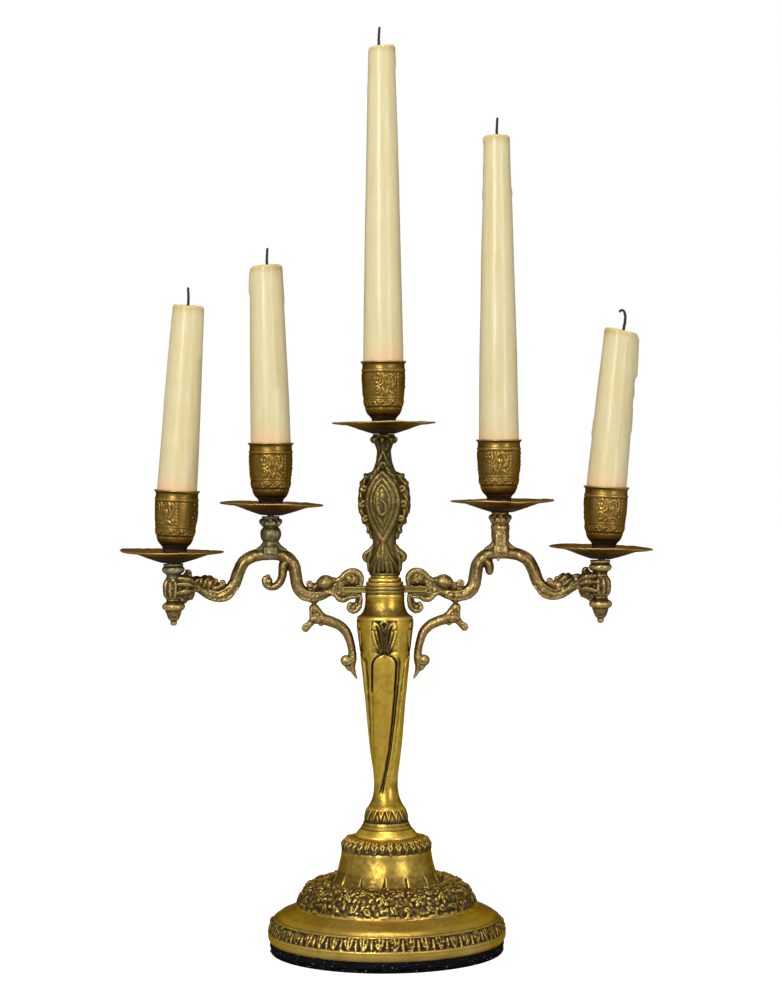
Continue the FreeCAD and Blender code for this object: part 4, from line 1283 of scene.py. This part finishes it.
def make_candle(name):
    light = LIGHTS[name]
    node = f"{name}_candle"
    length = light["length"]
    verts, faces = turned(candle_shape(length, light["top"]), 132, carve_candle(name))
    wear_top(verts, light)
    candle = leaned((verts, faces), candle_lean(name), lip_of(name))
    piece = new_piece(f"{name}_wax", node, candle, WAX)
    height = verts[:, 2]
    angle = np.arctan2(verts[:, 0], -verts[:, 1])
    # Painted warm reflection of the cup on the wax, strongest at the lip.
    painted_cup_reflection = 0.95 * bump(height, 6.5) * (0.7 + 0.3 * np.sin(angle + len(name)))
    # Darker gold towards the worn top and by its high side; the band down the left and right sides, as
    # seen from the front, is painted shade.
    honey_and_side_shade = 0.75 * ease(height, length - 6, length - 0.5) + 0.25 * bump(np.abs(angle) - 1.6, 0.5)
    spot = np.mod(angle - math.radians(light["high_side"][0]) + math.pi, TURN) - math.pi
    honey_and_side_shade += 0.4 * bump(height - length + 3, 4) * bump(spot, 0.6)
    for key, values in (("painted_cup_reflection", painted_cup_reflection), ("honey_and_side_shade", honey_and_side_shade)):
        store(piece.data, key, np.clip(values, 0, 1)[:len(piece.data.vertices)])
    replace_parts(piece, node)


def candle_lean(name):
    """Degrees that a candle leans towards +X, along which it is lifted."""
    for joint in frame["record"]["behaviour"]["joints"]:
        if joint["name"] == f"{name}_candle_lift":
            return math.degrees(math.atan2(joint["axis"][0], joint["axis"][2]))


def lip_of(name):
    """Middle of the cup's mouth, from which its candle's length is counted."""
    lean = LIGHTS[name]["cup_lean"]
    return foot_of(f"{name}_cup", lean, CUP_HEIGHT) + axis_of(lean) * CUP_HEIGHT


def make_wick(name):
    """Charred cotton cord: three twisted strands, thicker where it meets the wax."""
    light = LIGHTS[name]
    node = f"{name}_wick"
    points = [(light["wick"][0][0], -12.0), *light["wick"]]
    cord = sweep([(across, light["length"] + up) for across, up in points],
                 np.linspace(0.90, 0.70, len(points)), sides=18, step=0.35, lobes=(3, 0.07, 3.0))
    cord = leaned(cord, candle_lean(name), lip_of(name))
    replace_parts(new_piece(f"{name}_burnt_wick", node, cord, WICK), node)


# ---- Branches ----
METALS = {"left": VERDIGRIS, "right": BRONZE}       # of the posts and outer collars
# Places along X on the left casting, from the stem outwards, and where each side's arm has them.
LIMBS = {"left": ((0, 40, 50, 64.7, 120.3), (0, 40, 50.2, 64.7, 120.3)),
         "right": ((0, 40, 50, 64.7, 120.3), (0, 40, 51.6, 66.0, 122.6))}
ARM_LINE = ((27.5, 206.6), (31.6, 204.8), (36.3, 202.9), (41.3, 202.0), (46.0, 203.6), (49.2, 207.6),
            (50.5, 213.8), (51.6, 219.8), (55.4, 224.4), (60.2, 226.0), (64.7, 226.2), (69.8, 226.0),
            (75.2, 225.0), (80.2, 221.8), (83.2, 216.2), (85.6, 209.6), (90.0, 204.4), (95.4, 202.5),
            (100.8, 204.4), (106.4, 208.0), (112.1, 208.8), (118.0, 207.4))
ARM_WIDTHS = (2.6, 2.8, 3.1, 3.5, 3.7, 3.65, 3.6, 3.6, 3.6, 3.5, 3.4, 3.5, 3.6, 3.6, 3.6, 3.6, 3.5,
              3.4, 3.3, 3.2, 3.4, 2.8)
SCROLL = {"left": ((54.4, 222.6), (57.2, 220.6), (57.9, 216.4), (58.6, 212.4), (60.8, 208.9),
                   (64.2, 207.5), (67.6, 208.9), (68.4, 211.8), (66.4, 213.6)),
          "right": ((54.0, 223.0), (57.2, 221.0), (58.2, 218.2), (58.3, 215.8))}
SCROLL_WIDTHS = {"left": (2.2, 2.9, 2.6, 2.4, 2.3, 2.1, 1.9, 1.7, 1.3), "right": (2.0, 2.9, 2.8, 2.3)}


def placed(points, side):
    """Points of the left casting moved to where the given side's arm has them."""
    source, target = LIMBS[side]
    return [(float(np.interp(point[0], source, target)) if point[0] < source[-1]
             else point[0] + target[-1] - source[-1], *point[1:]) for point in points]


def shifted(part, side):
    """Carry a part that was built on the left casting's places over to the given side."""
    verts, faces = part
    source, target = LIMBS[side]
    x = verts[:, 0]
    verts = verts.copy()
    verts[:, 0] = np.where(x > source[-1], x + target[-1] - source[-1], np.interp(x, source, target))
    return verts, faces


def front_and_back(y, line, widths):
    """The same rib laid on the front and on the back of a casting, y from its middle plane."""
    return [sweep(at_depth(line, y * face), widths, sides=12) for face in (-1, 1)]


def arm_details():
    """Ridges, beads and leaf ribs that stand on the arm's front and back."""
    parts = []
    parts += front_and_back(2.9, ARM_LINE[5:9], (0.6, 1.2, 1.2, 0.6))
    parts += front_and_back(2.9, ARM_LINE[12:16], (0.6, 1.2, 1.2, 0.6))
    for line in (((34.6, 204.6), (40.0, 203.9), (45.2, 205.2), (48.2, 209.4)),
                 ((34.8, 201.6), (40.2, 199.9), (45.8, 200.9), (50.4, 204.8)),
                 ((85.8, 212.4), (89.4, 207.4), (95.0, 204.6), (100.4, 206.4)),
                 ((83.6, 207.2), (88.6, 201.6), (95.4, 200.3), (101.8, 202.9)),
                 ((104.0, 205.6), (108.8, 206.6), (113.8, 206.0))):
        parts += front_and_back(2.3, line, (0.6, 1.1, 1.1, 0.6) if len(line) == 4 else (0.6, 1.1, 0.6))
    for x, z in ((38.2, 202.0), (41.2, 201.2), (44.4, 202.0), (47.4, 204.4), (88.2, 204.6), (91.4, 202.8),
                 (94.8, 202.2), (98.2, 202.9)):
        parts += [blob((x, 2.7 * face, z), (1.3, 0.9, 1.1)) for face in (-1, 1)]
    for x, z, tip in ((54.4, 223.2, -48), (76.6, 223.8, 36)):
        parts += [blob((x, 2.8 * face, z), (3.2, 1.5, 2.1), turn=tip) for face in (-1, 1)]
    return parts


def leaf_knob(x, z, length, width, tip, strands=4, turns=0.6):
    """Twisted almond leaf, as a bud of several strands."""
    way = np.array([math.cos(math.radians(tip)), math.sin(math.radians(tip))])
    line = [(x + way[0] * share * length, z + way[1] * share * length) for share in np.linspace(-1, 1, 6)]
    radii = width * np.array([0.35, 0.8, 1.0, 1.0, 0.8, 0.35])
    return sweep(line, radii, depth=1.05, sides=40, step=0.5, lobes=(strands, 0.14, turns))


def arm_leaves():
    """Knobs and buds that grow on the arm, by the block and before the boss."""
    parts = [sweep(((29.4, 210.6), (31.6, 210.2), (34.2, 209.6), (36.6, 208.8), (38.4, 207.8)),
                   (2.4, 4.0, 4.5, 3.6, 1.8), depth=0.95, sides=32, ridge=0.1),
             leaf_knob(40.0, 207.6, 2.8, 2.1, -20, strands=3),
             leaf_knob(101.4, 210.2, 5.2, 4.4, -12, strands=4, turns=0.9),
             leaf_knob(107.4, 211.4, 4.4, 2.6, -14, strands=3),
             leaf_knob(96.2, 207.8, 3.8, 2.8, 24, strands=3),
             leaf_knob(89.0, 206.8, 3.0, 1.6, -38, strands=3)]
    for x, z, radius, start, turns in ((42.6, 209.3, 1.7, 230, 1.1), (92.6, 210.0, 1.7, 300, -1.1)):
        parts.append(blob((x, 0.0, z), (radius * 0.9, 2.6, radius * 0.9)))
        for y in (-1.9, 0.0, 1.9):
            bud = at_depth(curl((x, z), radius, 0.7, start, turns), y)
            parts.append(sweep(bud, 0.9, sides=10))
        parts.append(sweep(((x, z - 4.6), (x - 0.2, z - 1.6)), (2.4, 1.8)))
    return parts


def arm_block():
    """Scrolled root that grips the ring's finger: an eye above, a curl below."""
    parts = [sweep(((16.4, 211.6), (22.2, 211.2), (28.0, 208.6)), (3.9, 3.6, 3.0), depth=0.8),
             sweep(((15.6, 203.2), (22.4, 203.2), (29.6, 204.8)), (2.4, 2.5, 2.8), depth=1.15),
             sweep(((24.8, 210.0), (25.2, 206.2), (25.4, 202.4)), (3.0, 3.0, 2.8), depth=1.05),
             sweep(((14.8, 202.4), (14.9, 198.8), (16.6, 196.4), (18.4, 195.8)), (2.0, 2.0, 2.4, 2.6),
                   depth=1.1)]
    for front in (-1, 1):
        crown = ((13.6, 208.4), (13.4, 212.4), (15.6, 215.4), (19.2, 216.0), (22.4, 214.6), (25.0, 212.2),
                 (27.4, 211.0))
        parts.append(sweep(at_depth(crown, 2.0 * front), (1.4, 1.7, 1.9, 1.9, 1.8, 1.6, 1.2),
                           sides=16))
        ring = at_depth(curl((19.6, 212.3), 2.7, 1.4, 250, -1.15), 3.0 * front)
        parts.append(sweep(ring, 0.7, sides=10))
        parts.append(blob((19.9, 3.1 * front, 212.1), (1.5, 1.1, 1.5)))
        hook = ((14.2, 202.6), (13.9, 199.2), (14.9, 195.4), (17.8, 193.4), (20.7, 195.2), (19.8, 197.8))
        parts.append(sweep(at_depth(hook, 2.0 * front), (1.3, 1.4, 1.5, 1.5, 1.4, 1.0), sides=14))
        parts.append(blob((17.9, 2.9 * front, 195.9), (1.2, 0.9, 1.2)))
        leaf = ((15.6, 201.6), (19.6, 201.6), (22.8, 200.2), (25.6, 200.4), (28.0, 202.6), (31.2, 204.2))
        parts.append(sweep(at_depth(leaf, 2.4 * front), (1.1, 1.3, 1.6, 1.7, 1.4, 1.1), sides=14))
    return parts


def leafy_boss(reach):
    """Fluted bulb at the arm's end with an acanthus leaf that wraps its inner side."""
    bulb = outline(
        ((1.0, 200.8), (4.2, 200.8)),
        [(5.4, 203.2), (5.8, 206.4), (5.6, 209.6), (4.6, 212.2), (4.3, 212.9)], [(1.0, 212.9)],
        step=0.4)

    def flutes(work):
        place, _ = cell(work.angle, 10)
        work.relief += (0.55 * np.cos(place * TURN) - 0.1) * window(work.z, 202.0, 211.6, 0.8)

    verts, faces = turned(bulb, 150, flutes)
    parts = [(verts + (reach, 0, 0), faces)]
    for x, z, length, width, tip in ((-7.6, 209.4, 5.0, 4.6, -6), (-8.0, 204.4, 4.6, 4.2, -38),
                                     (-7.8, 213.6, 3.4, 2.9, -62), (-8.6, 216.4, 1.8, 1.7, 30),
                                     (-5.6, 201.2, 3.2, 2.6, -58), (-5.8, 212.8, 3.0, 2.6, 12)):
        parts.append(leaf_knob(reach + x, z, length, width, tip, strands=3, turns=0.3))
    for front in (-1, 1):
        for start, end in (((-12.4, 210.6), (-3.8, 213.0)), ((-12.6, 208.0), (-3.4, 209.6)),
                           ((-12.0, 205.4), (-3.4, 204.6))):
            middle = ((start[0] + end[0]) / 2, (start[1] + end[1]) / 2 + 0.8)
            parts.append(sweep([(reach + x, y * front, z) for (x, z), y in
                                zip((start, middle, end), (2.4, 4.0, 4.2))], (0.9, 1.9, 1.4), sides=12))
    return parts


def make_arm(side, way):
    """One arm; way is the half turn about the stem that brings the casting to its side."""
    node = f"{side}_arm"
    reach = abs(middle_of(f"{side}_drop_finial")[0])
    bar = sweep(ARM_LINE, ARM_WIDTHS, depth=0.92, sides=32, step=0.6, ridge=0.12)
    parts = [shifted(part, side) for part in [bar] + arm_details() + arm_leaves()]
    parts += arm_block()
    parts.append(sweep(placed(SCROLL[side], side), SCROLL_WIDTHS[side], depth=1.1, sides=20, ridge=0.15))
    if side == "left":
        parts.append(blob((66.2, 0.0, 211.0), (2.4, 2.9, 2.4)))
        parts.append(blob((60.0, 0.0, 209.4), (1.9, 2.6, 1.9)))
    parts += leafy_boss(reach)
    seat = top_of(f"{side}_bracket")
    parts.append(sweep(((40.3, seat + 4.4), (40.2, seat + 2.6)), (3.4, 3.1), depth=0.85))
    parts = swung(parts, way)

    def roughen(points):
        x, _, z = points.T
        return 0.10 * lumps(x / 1.3, z / 1.3, 61) + 0.12 * lumps(x / 0.7, z / 0.7, 62) * (z < 206.5)

    def darkening(x, y, z):
        return 0.15 + 0.55 * ease(np.abs(x), 98, 106) + 0.4 * window(z, 194, 208, 2) * (np.abs(x) < 40)

    cast(f"{side}_arm_casting", node, parts, BRONZE, carve=roughen, patina_and_shade=darkening)


def make_bracket(side, way):
    """Pendant scroll: neck, beaded node, side curl and a tail with a ball and a point."""
    node = f"{side}_bracket"
    seat = top_of(node)
    tail = ((39.6, 189.6), (35.2, 188.9), (30.4, 187.5), (25.6, 185.2), (22.0, 181.4), (20.0, 176.4),
            (18.9, 171.4), (18.6, 166.4), (18.9, 161.8), (17.8, 158.0), (16.3, 155.2))
    parts = [sweep(((40.3, seat - 3.0), (40.3, 193.0), (39.8, 189.6)), (3.0, 2.8, 3.3), depth=0.84,
                   ridge=0.1),
             sweep(((39.0, 194.6), (36.6, 191.4), (33.0, 189.2)), (2.2, 2.2, 1.8), depth=1.0),
             sweep(tail, (3.3, 3.1, 3.0, 2.9, 2.7, 2.4, 2.3, 2.4, 1.9, 1.2, 0.6), depth=1.0, sides=28,
                   ridge=0.12),
             sweep(((40.2, 189.6), (42.2, 187.0), (44.2, 184.6)), (2.6, 2.0, 1.8), depth=1.0),
             blob((22.3, 0.0, 165.3), (3.2, 2.9, 3.2)),
             sweep(((21.8, 162.6), (20.4, 160.8), (18.8, 160.0)), (1.6, 1.6, 1.3)),
             blob((36.5, 0.0, 186.6), (1.6, 1.9, 1.7)),
             blob((45.2, 0.0, 184.0), (2.3, 2.4, 2.3))]
    for front in (-1, 1):
        rib = [(x + 0.2, 2.0 * front, z + 0.3) for x, z in tail[1:8]]
        parts.append(sweep(rib, (0.5, 0.9, 0.9, 0.9, 0.9, 0.8, 0.4), sides=10))
        for x, z, size in ((38.6, 191.6, 1.3), (41.2, 189.4, 1.5), (37.9, 188.6, 1.8),
                           (35.0, 189.4, 1.0)):
            parts.append(blob((x, 2.6 * front, z), (size, 1.0, size)))
        parts.append(sweep(at_depth(((41.6, 196.2), (42.0, 193.2), (42.0, 190.6)), 2.3 * front),
                           (0.6, 0.8, 0.5), sides=10))
        curled = at_depth(curl((22.2, 165.3), 2.9, 0.9, 150, 1.1), 1.8 * front)
        parts.append(sweep(curled, 0.75, sides=10))
        ball = at_depth(curl((45.2, 184.0), 2.1, 0.7, 120, -1.0), 1.5 * front)
        parts.append(sweep(ball, 0.8, sides=10))
    parts = swung(parts, way)

    def roughen(points):
        x, _, z = points.T
        return 0.08 * lumps(x / 1.1, z / 1.1, 71)

    cast(f"{side}_bracket_casting", node, parts, BRONZE, grain=0.3, soften=2, carve=roughen)


def make_branch_ring():
    """Thin ring plate with a groove round it, and a grooved finger to each side."""
    low, high = box_mm("branch_ring")
    middle = (low[2] + high[2]) / 2
    half = (high[2] - low[2]) / 2
    rows = outline(
        ((5.1, low[2]), (11.2, low[2])), [(11.7, low[2] + 0.7)], [(11.75, middle - 0.5)],
        [(11.1, middle)], [(11.75, middle + 0.5)], [(11.7, high[2] - 0.7)], [(11.2, high[2])],
        [(5.1, high[2])], step=0.35)
    parts = [turned(rows, 160)]
    for way in (0, 180):
        for y in (-2.1, 0.0, 2.1):
            finger = sweep([(x, y, middle) for x in (9.0, 16.0, high[0] - half)], half - 0.3, sides=24)
            parts += swung([finger], way)
        for face in (-1, 1):
            for z in (-1.2, 1.2):
                lip = sweep([(x, 3.6 * face, middle + z) for x in (10.6, 16.5, high[0] - 2.6)], 0.66,
                            sides=10)
                parts += swung([lip], way)
            end = [(high[0] - 2.6 + 1.5 * math.sin(a), 3.6 * face, middle + 1.2 * math.cos(a))
                   for a in np.radians((0, 45, 90, 135, 180))]
            parts += swung([sweep(end, 0.66, sides=10)], way)
    cast("branch_ring_casting", "branch_ring", parts, OLIVE_BRASS, grain=0.28, soften=2)


def post_outline(side, seat):
    """Outline of an inner post: the left one has a round boss, the right one a taller body."""
    if side == "left":
        body = ((4.3, 233.4), (5.6, 235.2), (6.1, 237.6), (5.6, 240.0), (4.1, 241.8))
    else:
        body = ((4.8, 233.0), (5.3, 235.4), (5.2, 238.6), (5.4, 241.2), (4.7, 243.0))
    top = body[-1]
    return outline(
        ((1.0, 226.5), (6.2, 226.5)), [(5.6, 229.8), (4.7, 231.8), body[0]], body[1:],
        [(5.6, top[1] + 0.9), (5.9, top[1] + 2.2), (5.0, seat - 1.9)],
        [(4.6, seat - 1.0), (5.2, seat - 0.4)], [(5.0, seat)], [(1.0, seat)], step=0.35)


def make_inner_post(side, way):
    """Turned post that stands on the arch: saddle, boss, lobed disc and a narrow seat."""
    node = f"{side}_inner_post"
    seat = top_of(node)
    centre = abs(middle_of(node)[0])

    def lobes(work):
        place, _ = cell(work.angle, 8)
        work.relief += 0.5 * (np.cos(place * TURN) - 0.3) * window(work.z, seat - 5.0, seat - 2.2, 0.6)
        work.relief += 0.16 * lumps(work.angle / TURN * 22, work.z / 1.4, 81, 22)

    verts, faces = turned(post_outline(side, seat), 110, lobes)
    parts = [(verts + (centre, 0, 0), faces)]
    for edge in (-1, 1):
        parts.append(blob((centre + 5.2 * edge, 0.0, seat - 3.0), (1.5, 2.4, 1.7)))
        flare = [(centre + 2.8 * edge, 0, 232.0), (centre + 4.8 * edge, 0, 229.8),
                 (centre + 8.4 * edge, 0, 228.4)]
        parts.append(sweep(flare, (2.2, 2.0, 1.0), depth=1.5))
    for front in (-1, 1):
        high = 236.0 if side == "right" else 229.6
        for x in (-1.9, 0.0, 1.9):
            pad = [(centre + x, 3.8 * front, z) for z in (high, 228.0, 225.0)]
            parts.append(sweep(pad, (1.5, 1.6, 1.6), sides=20))
        for edge in (-1, 1):
            rim = [(centre + 3.3 * edge, 4.6 * front, z) for z in (230.0, 227.0, 224.4)]
            parts.append(sweep(rim, (0.5, 0.65, 0.5), sides=10))
    if side == "right":
        parts.append(blob((centre - 1.4, -4.2, 222.8), (0.9, 0.9, 1.2)))
    parts = swung(parts, way)
    cast(f"{side}_post_casting", node, parts, METALS[side], grain=0.28, soften=2)


def worn(amount, count, size, seed):
    """Carving of a worn surface: dents of the given amount and height, count of them round it."""
    def carve(work):
        work.relief += amount * lumps(work.angle / TURN * count, work.z / size, seed, count)
    return carve


def make_outer_collar(side):
    node = f"{side}_outer_collar"
    seat = top_of(node)
    rows = outline(
        ((1.0, 212.9), (4.2, 212.9)), [(4.0, 214.2), (4.6, 215.4)],
        [(5.9, 216.2), (6.5, 217.6), (6.2, 219.0)], [(5.5, 219.5), (5.8, seat - 0.5)], [(5.6, seat)],
        [(1.0, seat)], step=0.3)

    verts, faces = turned(rows, 160, worn(0.13, 24, 1.5, 91))
    collar = (verts + (middle_of(node)[0], 0, 0), faces)
    aged_piece(f"{side}_collar_turning", node, collar, METALS[side], 0.25)


def make_drop_finial(side):
    node = f"{side}_drop_finial"
    low = bottom_of(node)
    rows = outline(
        ((0.05, low), (1.3, low + 0.3), (1.9, low + 1.4), (1.7, low + 2.5)),
        [(2.9, low + 3.6), (3.7, low + 5.4), (4.5, low + 7.6), (4.7, low + 8.6)],
        [(6.1, low + 9.4), (6.6, low + 10.8), (6.2, low + 12.2), (4.6, low + 13.2)],
        [(4.0, low + 14.0), (4.3, low + 14.8)], [(1.0, low + 14.8)], step=0.3)

    verts, faces = turned(rows, 150, worn(0.16, 20, 1.6, 95))
    finial = (verts + (middle_of(node)[0], 0, 0), faces)
    aged_piece(f"{side}_finial_turning", node, finial, BRONZE, 0.25,
               patina_and_shade=lambda x, y, z: 0.7 + 0 * z)


# ---- Stage, light and camera ----
def make_stage():
    mesh = bpy.data.meshes.new("floor")
    size = 6.0
    corners = [(-size, -size, 0), (size, -size, 0), (size, size, 0), (-size, size, 0)]
    mesh.from_pydata(corners, [], [(0, 1, 2, 3)])
    floor = in_scene("floor", mesh)
    shader = Shader("pale floor")
    seen = shader.node("ShaderNodeLightPath").outputs["Is Camera Ray"]
    shader.set(Base_Color=(0.5, 0.5, 0.5, 1), Roughness=0.9, Emission_Color=(1, 1, 1, 1),
               Emission_Strength=shader.levels(seen, 0, 1, 0, 0.82))
    mesh.materials.append(shader.material)


def soft_box(name, place, aim, size, power):
    data = bpy.data.lights.new(name, "AREA")
    data.shape = "RECTANGLE"
    data.size, data.size_y = size
    data.energy = power
    light = in_scene(name, data)
    light.location = place
    light.rotation_euler = (Vector(aim) - Vector(place)).to_track_quat("-Z", "Y").to_euler()


def make_light():
    """Soft boxes before the object, in a grey room, darker behind and below, that is seen as white."""
    centre = (0, 0, 0.26)
    soft_box("key", (-0.75, -1.7, 0.95), centre, (0.45, 0.9), 17)
    soft_box("fill", (1.25, -1.5, 0.55), centre, (0.4, 0.9), 6)
    soft_box("top", (0.0, -0.25, 1.7), centre, (0.9, 0.9), 8)
    world = bpy.data.worlds.new("room")
    bpy.context.scene.world = world
    world.use_nodes = True
    room = Nodes(world.node_tree)
    way = room.node("ShaderNodeSeparateXYZ")
    room.feed(way.inputs[0], room.node("ShaderNodeTexCoord").outputs["Generated"])
    front = room.levels(way.outputs["Y"], -0.2, 1.0, 0.56, 0.08)
    above = room.levels(way.outputs["Z"], 0.05, 0.45, 0.0, 0.5)
    seen = room.node("ShaderNodeLightPath").outputs["Is Camera Ray"]
    grey = room.maths("MAXIMUM", front, above)
    room.feed(room.tree.nodes["Background"].inputs["Color"], room.mix(seen, grey, (1.0, 1.0, 1.0)))


def make_camera():
    """Level with the middle cup's pan, a metre and a half off."""
    data = bpy.data.cameras.new("camera")
    data.sensor_fit = "HORIZONTAL"
    data.sensor_width = 36.0
    data.lens = 119.6
    data.shift_y = -0.05
    data.clip_start = 0.05
    data.clip_end = 50
    camera = in_scene("camera", data)
    place = Vector((-0.0054, -1.479, 0.2971))
    aim = Vector((0.0040, 0.0, 0.2789))
    roll = Matrix.Rotation(math.radians(-0.344), 4, "Z")
    camera.matrix_world = (Matrix.Translation(place)
                           @ (aim - place).to_track_quat("-Z", "Y").to_matrix().to_4x4() @ roll)
    bpy.context.scene.camera = camera
    bpy.context.scene.view_settings.view_transform = "Standard"


def dress(node, material):
    mesh = frame["nodes"][node].data
    mesh.materials.clear()
    mesh.materials.append(material)


def dress_inner_parts():
    """Give the fixings, which stay as they were designed, their own metal."""
    for node in ("bracket_pins", "saddle_rivets"):
        dress(node, PLAIN_BRONZE)
    for node in ("base_washer", "base_nut", "tie_rod", "centre_cup_nut", "cup_screws"):
        dress(node, STEEL)


make_camera()
make_light()
make_stage()
make_base_rim()
make_base_dome()
make_cloth("felt_pad", FELT)
make_cloth("base_board", BOARD)
make_stem()
make_step_collar()
make_upper_baluster()
make_branch_ring()
for side, way in (("left", 180), ("right", 0)):
    make_arm(side, way)
    make_bracket(side, way)
    make_inner_post(side, way)
    make_outer_collar(side)
    make_drop_finial(side)
for name in LIGHTS:
    make_pan(name)
    make_cup(name)
    make_candle(name)
    make_wick(name)
dress_inner_parts()
